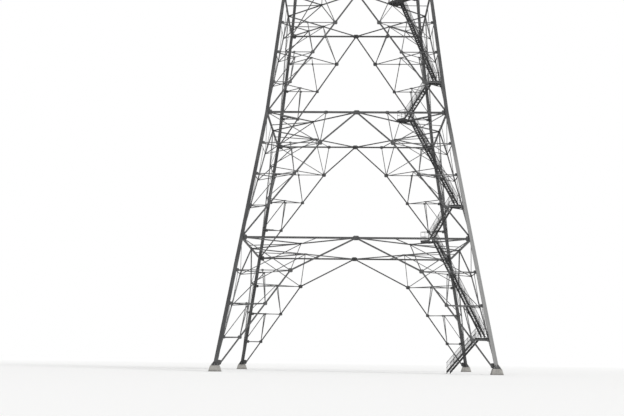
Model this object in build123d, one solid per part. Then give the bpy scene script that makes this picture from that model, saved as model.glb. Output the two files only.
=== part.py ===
from build123d import *
import math
import os

# A square, four-legged lattice radio tower, as a 1:10 scale model in millimetres.
# +Z is up. The origin is on the ground at the tower's axis, and the front faces -Y.

# Outline: the legs' centre lines, from the ground up.
BAY = 1360.0  # height of a bay, from belt to belt
HALF_WIDTHS = [1394.0, 1170.0, 950.0, 795.0, 668.0, 560.0, 467.0, 388.0, 322.0, 268.0]
BAYS = len(HALF_WIDTHS) - 1
SUB_LEVELS = 4  # each tall bay is divided into four steps

# Bars: width across the bar in its own plane, and depth square to that plane.
LEG_AT_GROUND = 36.0
LEG_AT_TOP = 20.0
BELT = 18.0
BELT_DEPTH = 16.0
BRACE = 15.0
BRACE_DEPTH = 12.0
STRUT = 9.0
STRUT_DEPTH = 8.0
PLAN_BAR = 12.0
HIP_BAR = 8.0
UPPER_BELT = 12.0
UPPER_BRACE = 10.0
UPPER_STRUT = 7.0

# The K braces run straight from the foot of a leg to a knee, and then to the belt's middle.
# The two lowest knees are given as a share of the half width at their height, and the rest are straight.
BENT_KNEES = [0.54, 0.381]
PLAN_STRUT_SHARES = [0.34, 0.34, 0.48]  # where plan struts and hangers meet the belt of each tall bay
TALL_BAYS = len(PLAN_STRUT_SHARES)
UPPER_STEPS = 2  # the bays above the tall ones are divided into two steps
UPPER_GROUPS = [(4, 6), (7, 9)]
GUSSET = 44.0
UPPER_GUSSET = 30.0
GUSSET_THICKNESS = 3.0
APEX_GUSSET_FACTOR = 1.6

# Footings and base plates.
FOOTING = 120.0
FOOTING_TOP = 90.0
FOOTING_HEIGHT = 60.0
BASE_PLATE = 76.0
BASE_PLATE_THICKNESS = 6.0
LEG_FOOT_RISE = 66.0  # of the legs' feet, over the level that the bays are counted from

# Stair in the corner of the front right leg.
BELT_LANDING_SHARES = [0.657, 0.56, 0.541]  # of the half width, one landing on each belt
STAIR_BAYS = len(BELT_LANDING_SHARES)
FLIGHT_WIDTH = 60.0
FLIGHT_GAP = 16.0  # between the two flights, seen from above
STRINGER_DEPTH = 20.0
STRINGER_THICKNESS = 4.0
TREAD_RISE = 25.0
TREAD_DEPTH = 20.0
TREAD_THICKNESS = 3.0
LANDING_LENGTH = 110.0
LANDING_THICKNESS = 6.0
CORNER_LANDING_LAP = 10.0  # how far a corner landing passes over the bar that carries it
FLIGHT_FOOT_SET_BACK = 27.0  # from a corner landing's edge to the foot of the long flight on it
STAIRWELL_LENGTH = 170.0  # headroom gap in the last landing
GROUND_FLIGHT_RUN = 390.0
FACE_CLEARANCE = 4.0  # between a landing's cut corners and the bars of a face
RAIL_HEIGHT = 100.0
RAIL_BAR = 4.0

# Ladder, platform and antenna pole at the top.
LADDER_WIDTH = 50.0
LADDER_STILE = 6.0
LADDER_STAND_OFF = 90.0
LADDER_JOINT = 2.0  # gap between two sections
RUNG = 4.0
RUNG_RISE = 30.0
PLATFORM_OVERHANG = 150.0
PLATFORM_BEAM = 14.0
PLATFORM_THICKNESS = 6.0
PLATFORM_HATCH = 110.0
PLATFORM_POSTS = 7  # guard rail posts along one side
RAIL_PANEL_GAP = 4.0  # from the end of one side's rail to the next side's centre line
POLE_FLANGE_RADIUS = 55.0
POLE_FLANGE_THICKNESS = 8.0
POLE_RADII = [28.0, 20.0, 12.0]
POLE_LENGTH = 330.0

CORNERS = {"front_left": (-1, -1), "front_right": (1, -1), "rear_right": (1, 1), "rear_left": (-1, 1)}
SIDES = {"front": 0, "right": 90, "rear": 180, "left": 270}
QUARTER_TURNS = (0, 90, 180, 270)


LEG_FOOT = FOOTING_HEIGHT + BASE_PLATE_THICKNESS
LOWEST_LEVEL = LEG_FOOT - LEG_FOOT_RISE


def belt_height(level):
    return LOWEST_LEVEL + level * BAY


LEG_TOP = belt_height(BAYS) + UPPER_BELT / 2


def half_width(z):
    """Distance from the axis to a leg's centre line at height z."""
    level = min(int((z - LOWEST_LEVEL) // BAY), BAYS - 1)
    return bay_half_width(level + 1, z)


def bay_half_width(bay, z):
    """Half width of a bay's faces at height z, carried on past its belts."""
    share = (z - belt_height(bay - 1)) / BAY
    return HALF_WIDTHS[bay - 1] * (1 - share) + HALF_WIDTHS[bay] * share


def leg_width(z):
    return LEG_AT_GROUND + (LEG_AT_TOP - LEG_AT_GROUND) * (z - LOWEST_LEVEL) / (BAYS * BAY)


def on_front(x, z):
    """A point of the front face's middle plane."""
    return Vector(x, -half_width(z), z)


def lean(bay):
    """How far the faces of a bay lean inwards, as an angle in radians."""
    return math.atan2(HALF_WIDTHS[bay - 1] - HALF_WIDTHS[bay], BAY)


def face_normal(bay):
    """Outward normal of the front face in a bay, the first bay being 1."""
    return Vector(0, -math.cos(lean(bay)), math.sin(lean(bay)))


def bar(start, end, width, depth, normal):
    """A square-ended bar between two points, its depth measured along the normal."""
    run = end - start
    along = run.normalized()
    square_normal = (normal - along * normal.dot(along)).normalized()
    place = Plane(origin=(start + end) * 0.5, x_dir=along, z_dir=square_normal)
    return place * Box(run.length, width, depth)


def joined(pieces):
    return pieces[0].fuse(*pieces[1:])


def ruled(sections):
    return loft(sections, ruled=True)


def square_at(x, y, z, side):
    return Plane(origin=(x, y, z)) * Rectangle(side, side)


def leg(corner):
    """A leg of square section, bent a little at each belt."""
    sx, sy = corner
    heights = [LEG_FOOT] + [belt_height(level) for level in range(1, BAYS)] + [LEG_TOP]
    pieces = []
    for low, high in zip(heights, heights[1:]):
        ends = [square_at(sx * half_width(z), sy * half_width(z), z, leg_width(z)) for z in (low, high)]
        pieces.append(ruled(ends))
    return joined(pieces)


def window(low, high):
    """The slab of space between the two legs of the front face."""
    belts = [belt_height(level) for level in range(BAYS + 1)]
    heights = [low] + [z for z in belts if low < z < high] + [high]
    pieces = []
    for bottom, top in zip(heights, heights[1:]):
        ends = []
        for z in (bottom, top):
            inner = half_width(z) - leg_width(z) / 2
            ends.append(Plane(origin=(0, -half_width(z), z)) * Rectangle(2 * inner, 6 * GUSSET))
        pieces.append(ruled(ends))
    return joined(pieces)


def inside(bay, low, high, depth):
    """The space within a bay's four faces, whose bars are as deep as given."""
    sections = []
    for z in (low, high):
        half = bay_half_width(bay, z) - depth / 2 / math.cos(lean(bay))
        sections.append(square_at(0, 0, z, 2 * half))
    return ruled(sections)


def steps_of(bay):
    return SUB_LEVELS if bay <= TALL_BAYS else UPPER_STEPS


def brace_point(bay, step):
    """Where the right-hand K brace of the front crosses a sub-level, counted from the bay's foot."""
    knee_height = belt_height(bay) - BAY / steps_of(bay)
    foot = on_front(HALF_WIDTHS[bay - 1], belt_height(bay - 1))
    if bay <= len(BENT_KNEES):
        knee = on_front(BENT_KNEES[bay - 1] * half_width(knee_height), knee_height)
    else:
        knee = on_front(HALF_WIDTHS[bay - 1] / steps_of(bay), knee_height)
    return foot + (knee - foot) * (step / (steps_of(bay) - 1))


def strut_share(level):
    """Where hangers and plan struts meet a belt, as a share of its half width from the middle."""
    return PLAN_STRUT_SHARES[min(level, TALL_BAYS) - 1]


def mirrored(point):
    return Vector(-point.X, point.Y, point.Z)


def gusset(point, normal, size):
    place = Plane(origin=point, x_dir=(1, 0, 0), z_dir=normal)
    return place * Box(size, size, GUSSET_THICKNESS)


def face_bars(bay):
    """The bars of one bay of the front face, before they are cut to the legs."""
    tall = bay <= TALL_BAYS
    belt, brace, strut = (BELT, BRACE, STRUT) if tall else (UPPER_BELT, UPPER_BRACE, UPPER_STRUT)
    plate = GUSSET if tall else UPPER_GUSSET
    normal = face_normal(bay)
    steps = steps_of(bay)
    corner = on_front(half_width(belt_height(bay)), belt_height(bay))
    apex = on_front(0, belt_height(bay))
    foot = brace_point(bay, 0)
    knee = brace_point(bay, steps - 1)
    bars = [bar(mirrored(corner), corner, belt, BELT_DEPTH, normal)]
    bars.append(gusset(apex, normal, plate * APEX_GUSSET_FACTOR))
    for side in (Vector, mirrored):
        bars.append(bar(side(foot), side(knee), brace, BRACE_DEPTH, normal))
        bars.append(bar(side(knee), side(apex), brace, BRACE_DEPTH, normal))
        bars.append(gusset(side(knee), normal, plate))
        for step in range(1, steps):
            node = brace_point(bay, step)
            leg_point = on_front(half_width(node.Z), node.Z)
            bars.append(bar(side(node), side(leg_point), strut, STRUT_DEPTH, normal))
            if step > 1:  # a hanger from the node below
                below = brace_point(bay, step - 1)
                bars.append(bar(side(below), side((node + leg_point) * 0.5), strut, STRUT_DEPTH, normal))
        if bay <= len(BENT_KNEES):
            bars.append(bar(side(knee), side(corner), strut, STRUT_DEPTH, normal))
        if bay > 1:
            hanger_top = apex + (corner - apex) * strut_share(bay)
            bars.append(bar(side(knee), side(hanger_top), strut, STRUT_DEPTH, normal))
    return bars


def belt_top(level):
    if level == 0:
        return LEG_FOOT
    return belt_height(level) + (BELT if level <= TALL_BAYS else UPPER_BELT) / 2


def front_bracing(bay):
    """One bay of the front face, as one welded panel that ends at the legs."""
    return joined(face_bars(bay)) & window(belt_top(bay - 1), belt_top(bay))


def plan_bracing(level, cutters):
    """The diamond between the middles of a belt's four sides, with its corner ties and struts."""
    z = belt_height(level)
    half = HALF_WIDTHS[level]
    up = Vector(0, 0, 1)
    middle = Vector(half / 2, -half / 2, z)
    corner = Vector(half, -half, z)
    quarter = [bar(Vector(half, 0, z), Vector(0, -half, z), PLAN_BAR, PLAN_BAR, up)]
    quarter.append(bar(middle, corner, PLAN_BAR, PLAN_BAR, up))
    if level <= TALL_BAYS:
        near = strut_share(level) * half
        quarter.append(bar(middle, Vector(near, -half, z), HIP_BAR, HIP_BAR, up))
        quarter.append(bar(middle, Vector(half, -near, z), HIP_BAR, HIP_BAR, up))
    bars = [Rot(0, 0, turn) * piece for turn in QUARTER_TURNS for piece in quarter]
    room = inside(level, z - BELT, z + BELT, BELT_DEPTH)
    return (joined(bars) & room).cut(*cutters)


def hip_corner(bay, leg_solid):
    """The corner bracing by the front right leg: a bar across the corner at each sub-level."""
    bars = []
    low = belt_height(bay - 1)
    ties_from = Vector(HALF_WIDTHS[bay] / 2, -HALF_WIDTHS[bay] / 2, belt_height(bay))
    for step in range(steps_of(bay) - 1, 0, -1):
        front = brace_point(bay, step)
        right = Vector(-front.Y, -front.X, front.Z)
        middle = (front + right) * 0.5
        half = half_width(front.Z)
        up = Vector(0, 0, 1)
        bars.append(bar(front, right, HIP_BAR, HIP_BAR, up))
        bars.append(bar(middle, Vector(half, -half, front.Z), HIP_BAR, HIP_BAR, up))
        for node in (front, right):
            bars.append(bar(ties_from, node, HIP_BAR, HIP_BAR, up))
        ties_from = middle
    room = inside(bay, low, belt_height(bay) - PLAN_BAR / 2, BRACE_DEPTH)
    return (joined(bars) & room) - leg_solid


def four_times(shape):
    """The same shape at each corner or on each side."""
    return Compound(children=[Rot(0, 0, turn) * shape for turn in QUARTER_TURNS])


def footings():
    solids = []
    for sx, sy in CORNERS.values():
        half = half_width(FOOTING_HEIGHT)
        foot = square_at(sx * half, sy * half, 0, FOOTING)
        top = square_at(sx * half, sy * half, FOOTING_HEIGHT, FOOTING_TOP)
        solids.append(ruled([foot, top]))
    return Compound(children=solids)


def base_plates():
    plates = []
    for sx, sy in CORNERS.values():
        half = half_width(FOOTING_HEIGHT)
        middle = Pos(sx * half, sy * half, FOOTING_HEIGHT + BASE_PLATE_THICKNESS / 2)
        plates.append(middle * Box(BASE_PLATE, BASE_PLATE, BASE_PLATE_THICKNESS))
    return Compound(children=plates)


# The stair is laid out along the diagonal from the axis to the front right leg.
# A place on it is its distance from the axis, its distance to the left of the climber, and its height.
DIAGONAL = Vector(1, -1, 0).normalized()
ACROSS = Vector(1, 1, 0).normalized()
LANDING_WIDTH = 2 * FLIGHT_WIDTH + FLIGHT_GAP
LONG_FLIGHT_SIDE = (FLIGHT_WIDTH + FLIGHT_GAP) / 2
SHORT_FLIGHT_SIDE = -LONG_FLIGHT_SIDE


def on_diagonal(out, side, z):
    return DIAGONAL * out + ACROSS * side + Vector(0, 0, z)


def corner_landing_height(bay):
    """Top of the landing by the leg, on the bay's first sub-level."""
    return belt_height(bay - 1) + BAY / SUB_LEVELS + HIP_BAR / 2 + LANDING_THICKNESS


def corner_landing_inner_edge(bay):
    node = brace_point(bay, 1)
    return (node.X - node.Y) / math.sqrt(2) - CORNER_LANDING_LAP


def belt_landing_height(level):
    return belt_height(level) + PLAN_BAR / 2 + LANDING_THICKNESS


def belt_landing_middle(level):
    return BELT_LANDING_SHARES[level - 1] * HALF_WIDTHS[level] * math.sqrt(2)


def landing(bay, inner_edge, top, length):
    """A deck on the diagonal, with its corners cut back from the bay's faces."""
    reach = (inner_edge, inner_edge + length)
    deck = diagonal_box(reach, (-LANDING_WIDTH / 2, LANDING_WIDTH / 2), (top - LANDING_THICKNESS, top))
    room = inside(bay, top - 2 * LANDING_THICKNESS, top + LANDING_THICKNESS, BELT_DEPTH + 2 * FACE_CLEARANCE)
    return deck & room


def last_landing():
    """The topmost landing, which runs on beside the stairwell to the ladder's foot."""
    inner_edge = belt_landing_middle(STAIR_BAYS) - LANDING_LENGTH / 2
    top = belt_landing_height(STAIR_BAYS)
    length = ladder_out(belt_height(STAIR_BAYS)) + LADDER_STILE - inner_edge
    well_start = inner_edge + LANDING_LENGTH
    well_reach = (well_start, well_start + STAIRWELL_LENGTH)
    well_sides = (FLIGHT_GAP / 2, LANDING_WIDTH)
    well = diagonal_box(well_reach, well_sides, (top - 2 * LANDING_THICKNESS, top + LANDING_THICKNESS))
    return landing(STAIR_BAYS, inner_edge, top, length) - well


def diagonal_box(out_range, side_range, z_range):
    """A box laid along the diagonal, given by its lowest and highest places."""
    spans = (out_range, side_range, z_range)
    middle = on_diagonal(*[(low + high) / 2 for low, high in spans])
    place = Plane(origin=middle, x_dir=DIAGONAL, z_dir=(0, 0, 1))
    return place * Box(*[high - low for low, high in spans])


def flight(low_out, low_z, high_out, high_z, side, stands):
    """Open treads between two stringers, which stand on what is below or hang on a landing's edge."""
    low = on_diagonal(low_out, side, low_z)
    high = on_diagonal(high_out, side, high_z)
    rise = high_z - low_z
    heading = (high_out - low_out) / rise
    pieces = []
    for edge in (-1, 1):
        offset = ACROSS * (edge * (FLIGHT_WIDTH - STRINGER_THICKNESS) / 2)
        past = (high - low).normalized() * STRINGER_DEPTH * 2
        start, end = low + offset - past, high + offset + past
        pieces.append(bar(start, end, STRINGER_DEPTH, STRINGER_THICKNESS, ACROSS))
    count = int(rise // TREAD_RISE)
    for step in range(1, count):
        z = step * rise / count
        middle = low + DIAGONAL * (z * heading) + Vector(0, 0, z)
        place = Plane(origin=middle, x_dir=DIAGONAL, z_dir=(0, 0, 1))
        pieces.append(place * Box(TREAD_DEPTH, FLIGHT_WIDTH - 2 * STRINGER_THICKNESS, TREAD_THICKNESS))
    reach = (min(low_out, high_out), max(low_out, high_out))
    if stands:
        reach = (min(reach[0], low_out - GROUND_FLIGHT_RUN), max(reach[1], low_out + GROUND_FLIGHT_RUN))
        reach = (high_out, reach[1]) if high_out < low_out else (reach[0], high_out)
    heights = (low_z if stands else low_z - BAY, high_z + BAY)
    return joined(pieces) & diagonal_box(reach, (-LANDING_WIDTH, LANDING_WIDTH), heights)


def long_flight(bay):
    low_out = corner_landing_inner_edge(bay) + FLIGHT_FOOT_SET_BACK
    low_z = corner_landing_height(bay)
    high_out = belt_landing_middle(bay) + LANDING_LENGTH / 2
    return flight(low_out, low_z, high_out, belt_landing_height(bay), LONG_FLIGHT_SIDE, True)


def short_flight(bay):
    high_out = corner_landing_inner_edge(bay)
    if bay == 1:
        low_out, low_z = high_out - GROUND_FLIGHT_RUN, 0.0
    else:
        low_out = belt_landing_middle(bay - 1) + LANDING_LENGTH / 2
        low_z = belt_landing_height(bay - 1)
    return flight(low_out, low_z, high_out, corner_landing_height(bay), SHORT_FLIGHT_SIDE, bay == 1)


def landings():
    decks = []
    for bay in range(1, STAIR_BAYS + 1):
        inner_edge = corner_landing_inner_edge(bay)
        decks.append(landing(bay, inner_edge, corner_landing_height(bay), LANDING_LENGTH))
    for level in range(1, STAIR_BAYS):
        inner_edge = belt_landing_middle(level) - LANDING_LENGTH / 2
        decks.append(landing(level, inner_edge, belt_landing_height(level), LANDING_LENGTH))
    decks.append(last_landing())
    return Compound(children=decks)


def ladder_out(z):
    return half_width(z) * math.sqrt(2) - LADDER_STAND_OFF


def rung_at(z):
    start = on_diagonal(ladder_out(z), -LADDER_WIDTH / 2, z)
    end = on_diagonal(ladder_out(z), LADDER_WIDTH / 2, z)
    return bar(start, end, RUNG, RUNG, Vector(0, 0, 1))


def ladder_section(low, high, foot):
    """One straight section. It stands on the landing, or by its lowest rung on a belt's corner tie."""
    pieces = []
    for edge in (-1, 1):
        side = edge * LADDER_WIDTH / 2
        start = on_diagonal(ladder_out(low), side, low)
        end = on_diagonal(ladder_out(high), side, high)
        pieces.append(bar(start, end, LADDER_STILE, LADDER_STILE, ACROSS))
    if low > foot:
        pieces.append(rung_at(low + PLAN_BAR / 2 + RUNG / 2))
    rung_count = int((high - low) // RUNG_RISE)
    for rung in range(1, rung_count):
        pieces.append(rung_at(low + rung * (high - low) / rung_count))
    above_deck = Pos(0, 0, foot + BAY * BAYS / 2) * Box(4 * HALF_WIDTHS[0], 4 * HALF_WIDTHS[0], BAY * BAYS)
    return joined(pieces) & above_deck


def ladder():
    """A ladder that follows the leg from the last landing to the top platform."""
    foot = belt_landing_height(STAIR_BAYS)
    belts = [belt_height(level) for level in range(STAIR_BAYS + 1, BAYS)]
    heights = [foot] + belts + [LEG_TOP]
    sections = [ladder_section(low, high - LADDER_JOINT, foot) for low, high in zip(heights, heights[1:])]
    return Compound(children=sections)


PLATFORM_HALF = HALF_WIDTHS[BAYS] + PLATFORM_OVERHANG
PLATFORM_FRAME_TOP = LEG_TOP + PLATFORM_BEAM
DECK_TOP = PLATFORM_FRAME_TOP + PLATFORM_THICKNESS


def platform_frame():
    """Beams over the leg tops, an edge beam all round and a cross under the antenna pole."""
    z = LEG_TOP + PLATFORM_BEAM / 2
    reach = PLATFORM_HALF
    beams = []
    for at in (-reach + PLATFORM_BEAM / 2, -HALF_WIDTHS[BAYS], 0, HALF_WIDTHS[BAYS], reach - PLATFORM_BEAM / 2):
        beams.append(Pos(at, 0, z) * Box(PLATFORM_BEAM, 2 * reach, PLATFORM_BEAM))
        beams.append(Pos(0, at, z) * Box(2 * reach, PLATFORM_BEAM, PLATFORM_BEAM))
    return joined(beams)


def platform_deck():
    z = PLATFORM_FRAME_TOP + PLATFORM_THICKNESS / 2
    hatch_out = ladder_out(LEG_TOP) / math.sqrt(2)
    deck = Pos(0, 0, z) * Box(2 * PLATFORM_HALF, 2 * PLATFORM_HALF, PLATFORM_THICKNESS)
    return deck - Pos(hatch_out, -hatch_out, z) * Box(PLATFORM_HATCH, PLATFORM_HATCH, PLATFORM_THICKNESS)


def guard_rail():
    """Four panels of posts and two rails, one on each edge of the platform."""
    edge = PLATFORM_HALF - RAIL_BAR
    length = 2 * (edge - RAIL_PANEL_GAP)
    post_gap = (length - RAIL_BAR) / (PLATFORM_POSTS - 1)
    pieces = []
    for post in range(PLATFORM_POSTS):
        at = (RAIL_BAR - length) / 2 + post * post_gap
        pieces.append(Pos(at, -edge, DECK_TOP + RAIL_HEIGHT / 2) * Box(RAIL_BAR, RAIL_BAR, RAIL_HEIGHT))
    for z in (DECK_TOP + RAIL_HEIGHT / 2, DECK_TOP + RAIL_HEIGHT - RAIL_BAR / 2):
        pieces.append(Pos(0, -edge, z) * Box(length, RAIL_BAR, RAIL_BAR))
    return four_times(joined(pieces))


def antenna_pole():
    """A stepped pole on a round flange."""
    z = DECK_TOP
    pieces = [Pos(0, 0, z + POLE_FLANGE_THICKNESS / 2) * Cylinder(POLE_FLANGE_RADIUS, POLE_FLANGE_THICKNESS)]
    z += POLE_FLANGE_THICKNESS
    for radius in POLE_RADII:
        pieces.append(Pos(0, 0, z + POLE_LENGTH / 2) * Cylinder(radius, POLE_LENGTH))
        z += POLE_LENGTH
    return joined(pieces)


def write(name, shape):
    shape.label = name
    export_step(shape, os.path.join("parts", name + ".step"))


def main():
    os.makedirs("parts", exist_ok=True)
    legs = {name: leg(corner) for name, corner in CORNERS.items()}
    for name, solid in legs.items():
        write("leg_" + name, solid)
    write("footings", footings())
    write("base_plates", base_plates())
    for bay in range(1, TALL_BAYS + 1):
        panel = front_bracing(bay)
        for side, angle in SIDES.items():
            write(f"{side}_bracing_bay_{bay}", Rot(0, 0, angle) * panel)
        write(f"corner_bracing_bay_{bay}", four_times(hip_corner(bay, legs["front_right"])))
    for first, last in UPPER_GROUPS:
        panel = joined([front_bracing(bay) for bay in range(first, last + 1)])
        for side, angle in SIDES.items():
            write(f"{side}_bracing_bays_{first}_to_{last}", Rot(0, 0, angle) * panel)
    for level in range(1, TALL_BAYS + 1):
        write(f"plan_bracing_belt_{level}", plan_bracing(level, legs.values()))
    upper = [plan_bracing(level, legs.values()) for level in range(TALL_BAYS + 1, BAYS + 1)]
    write("plan_bracing_upper_belts", Compound(children=upper))
    for bay in range(1, STAIR_BAYS + 1):
        write(f"stair_long_flight_bay_{bay}", long_flight(bay))
        write(f"stair_short_flight_bay_{bay}", short_flight(bay))
    write("stair_landings", landings())
    write("ladder", ladder())
    write("platform_frame", platform_frame())
    write("platform_deck", platform_deck())
    write("platform_guard_rail", guard_rail())
    write("antenna_pole", antenna_pole())


main()
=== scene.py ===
import math
from functools import cache, partial

import bmesh
import bpy
from bpy.props import FloatProperty, FloatVectorProperty, PointerProperty
from mathutils import Matrix, Vector


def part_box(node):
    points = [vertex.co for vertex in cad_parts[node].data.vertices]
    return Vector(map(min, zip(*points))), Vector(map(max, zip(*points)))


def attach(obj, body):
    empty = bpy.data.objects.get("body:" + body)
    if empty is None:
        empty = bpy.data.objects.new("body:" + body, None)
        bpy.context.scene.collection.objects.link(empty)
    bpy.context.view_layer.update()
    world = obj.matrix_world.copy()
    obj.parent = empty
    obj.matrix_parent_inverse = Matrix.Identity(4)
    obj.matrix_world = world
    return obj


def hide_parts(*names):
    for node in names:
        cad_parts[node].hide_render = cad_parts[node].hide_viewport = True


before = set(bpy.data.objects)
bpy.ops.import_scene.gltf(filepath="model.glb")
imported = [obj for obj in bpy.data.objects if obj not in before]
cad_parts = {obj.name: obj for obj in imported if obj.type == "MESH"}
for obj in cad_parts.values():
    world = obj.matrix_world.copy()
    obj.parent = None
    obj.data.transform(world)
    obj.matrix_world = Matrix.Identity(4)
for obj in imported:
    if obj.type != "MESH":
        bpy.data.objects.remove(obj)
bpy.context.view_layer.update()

bl_info = {
    "name": "Lattice radio mast",
    "version": (1, 0, 0),
    "blender": (4, 5, 0),
    "location": "3D View > Sidebar > Mast",
    "description": "Dresses a scale model of a four-legged lattice radio mast with steelwork and finishes",
    "category": "Add Mesh",
}

# Layout. A bay lies between two belts, and the lowest is bay 1. The front faces -Y.
SIDES = ("front", "right", "rear", "left")  # each a quarter turn on from the one before
CORNERS = ("front_right", "rear_right", "rear_left", "front_left")
BENT_KNEES = (0.54, 0.381)  # knees of the lowest K braces, as a share of the half width there
STRUT_SHARES = (0.34, 0.34, 0.48)  # where plan struts and hangers meet the belt of each tall bay
LANDING_SHARES = (0.657, 0.56, 0.541)  # of the half width, one landing on each belt
TALL_BAYS = len(STRUT_SHARES)
TALL_STEPS = 4
UPPER_STEPS = 2
UPPER_GROUPS = ((4, 6), (7, 9))

# Directions.
UP = Vector((0, 0, 1))
TO_RIGHT = Vector((1, 0, 0))
TO_REAR = Vector((0, 1, 0))
FOUR_WAYS = (TO_RIGHT, -TO_RIGHT, TO_REAR, -TO_REAR)
DIAGONAL = Vector((1, -1, 0)).normalized()  # from the axis to the corner of the stair
ACROSS = Vector((1, 1, 0)).normalized()

HAIR = 0.00005  # keeps faces of two pieces out of one plane
SAME = 0.0001  # points of the frame closer than this are at one height
WELD = 0.00001  # points closer than this become one
CREASE = math.radians(35)  # edges sharper than this aren't shaded smooth


def middle_and_width(values):
    return (min(values) + max(values)) / 2, max(values) - min(values)


def points_of(node):
    return [vert.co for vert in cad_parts[node].data.vertices]


def leg_stations():
    """Height, distance from the axis and width of the front right leg at its foot, bends and top."""
    points = points_of("leg_front_right")
    heights = sorted({round(point.z, 4) for point in points})
    return [(z, *middle_and_width([point.x for point in points if abs(point.z - z) < SAME])) for z in heights]


STATIONS = leg_stations()
LEG_FOOT = STATIONS[0][0]
LEG_TOP = STATIONS[-1][0]
BAY = STATIONS[1][0]
BAYS = round(LEG_TOP / BAY)


def size(name, description, default):
    return FloatProperty(name=name, description=description, default=default, min=0.0, precision=5,
                         unit="LENGTH")


def colour(name, description, default):
    return FloatVectorProperty(name=name, description=description, default=default, size=3, subtype="COLOR",
                               min=0.0, max=1.0)


def rotation(name, description, degrees):
    return FloatProperty(name=name, description=description, default=math.radians(degrees), unit="ROTATION")


def strength(name, description, default):
    return FloatProperty(name=name, description=description, default=default, min=0.0)


class MastSteelSizes(bpy.types.PropertyGroup):
    belt: size("Belt", "Width of a belt of the tall bays", 0.018)
    belt_depth: size("Belt depth", "Depth of a belt", 0.016)
    brace: size("Brace", "Width of a K brace of the tall bays", 0.015)
    brace_depth: size("Brace depth", "Depth of a K brace", 0.012)
    strut: size("Strut", "Width of a strut or hanger of the tall bays", 0.009)
    strut_depth: size("Strut depth", "Depth of a strut or hanger", 0.008)
    upper_belt: size("Upper belt", "Width of a belt of the upper bays", 0.012)
    upper_brace: size("Upper brace", "Width of a K brace of the upper bays", 0.010)
    upper_strut: size("Upper strut", "Width of a strut of the upper bays", 0.007)
    plan_bar: size("Plan bar", "Width of the bars inside a belt", 0.012)
    corner_bar: size("Corner bar", "Width of the bars across a corner", 0.008)
    plate: size("Section thickness", "Thickness of the rolled steel sections", 0.0014)
    gusset: size("Gusset", "Side of the plate at a knee of the tall bays", 0.044)
    upper_gusset: size("Upper gusset", "Side of the plate at a knee of the upper bays", 0.030)
    gusset_plate: size("Gusset thickness", "Thickness of the gusset plates", 0.003)
    bolt: size("Bolt", "Radius of a bolt's head", 0.0019)
    bolt_head: size("Bolt head", "Height of a bolt's head", 0.0013)
    bolt_pitch: size("Bolt pitch", "Distance from bolt to bolt at a joint", 0.0075)
    stitch: size("Stitch pitch", "Distance between the bolts along a double section", 0.085)
    rivet: size("Rivet", "Radius of a rivet's head on a leg", 0.0013)
    rivet_head: size("Rivet head", "Height of a rivet's head on a leg", 0.0008)
    rivet_pitch: size("Rivet pitch", "Distance from rivet to rivet along a leg", 0.032)


class MastFootSizes(bpy.types.PropertyGroup):
    grout: size("Grout", "Height of the grout under a base plate", 0.004)
    chamfer: size("Chamfer", "Worn edge of a footing", 0.0035)
    rib: size("Rib", "Height of the ribs of a base shoe", 0.034)
    rib_plate: size("Rib thickness", "Thickness of the ribs of a base shoe", 0.003)
    rib_margin: size("Rib margin", "From the toe of a rib to the edge of the base plate", 0.003)
    anchor: size("Anchor bolt", "Radius of an anchor bolt", 0.0024)
    anchor_length: size("Anchor bolt length", "Height of an anchor bolt over the base plate", 0.013)


class MastStairSizes(bpy.types.PropertyGroup):
    flight: size("Flight width", "Width of a flight over its stringers", 0.060)
    gap: size("Flight gap", "Gap between two flights, seen from above", 0.016)
    stringer: size("Stringer", "Depth of a stringer", 0.020)
    stringer_width: size("Stringer width", "Width of a stringer", 0.004)
    tread: size("Tread", "Depth of a tread", 0.020)
    tread_plate: size("Tread thickness", "Thickness of a tread", 0.003)
    rise: size("Rise", "Height from tread to tread", 0.025)
    landing: size("Landing", "Length of a landing", 0.110)
    landing_plate: size("Landing thickness", "Thickness of a landing's deck", 0.006)
    lap: size("Landing lap", "How far a corner landing passes over the bar under it", 0.010)
    set_back: size("Foot set back", "From a corner landing's edge to the foot of the long flight", 0.027)
    ground_run: size("Ground run", "Length on plan of the flight from the ground", 0.390)
    rail_height: size("Rail height", "Height of a handrail over the treads", 0.100)
    rail: size("Rail", "Radius of a handrail", 0.0022)
    post_gap: size("Post gap", "Greatest distance between two posts", 0.130)
    shortest_rail: size("Shortest rail", "Landing edges up to this length have no handrail", 0.012)
    baluster: size("Baluster", "Radius of the thin bars under a flight's handrail", 0.0012)
    baluster_gap: size("Baluster gap", "Distance between two of those bars", 0.017)
    toe_board: size("Toe board", "Height of the board at a landing's edge", 0.011)
    edge_channel: size("Landing edge", "Depth of the strips under a landing's edges", 0.0064)


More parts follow.
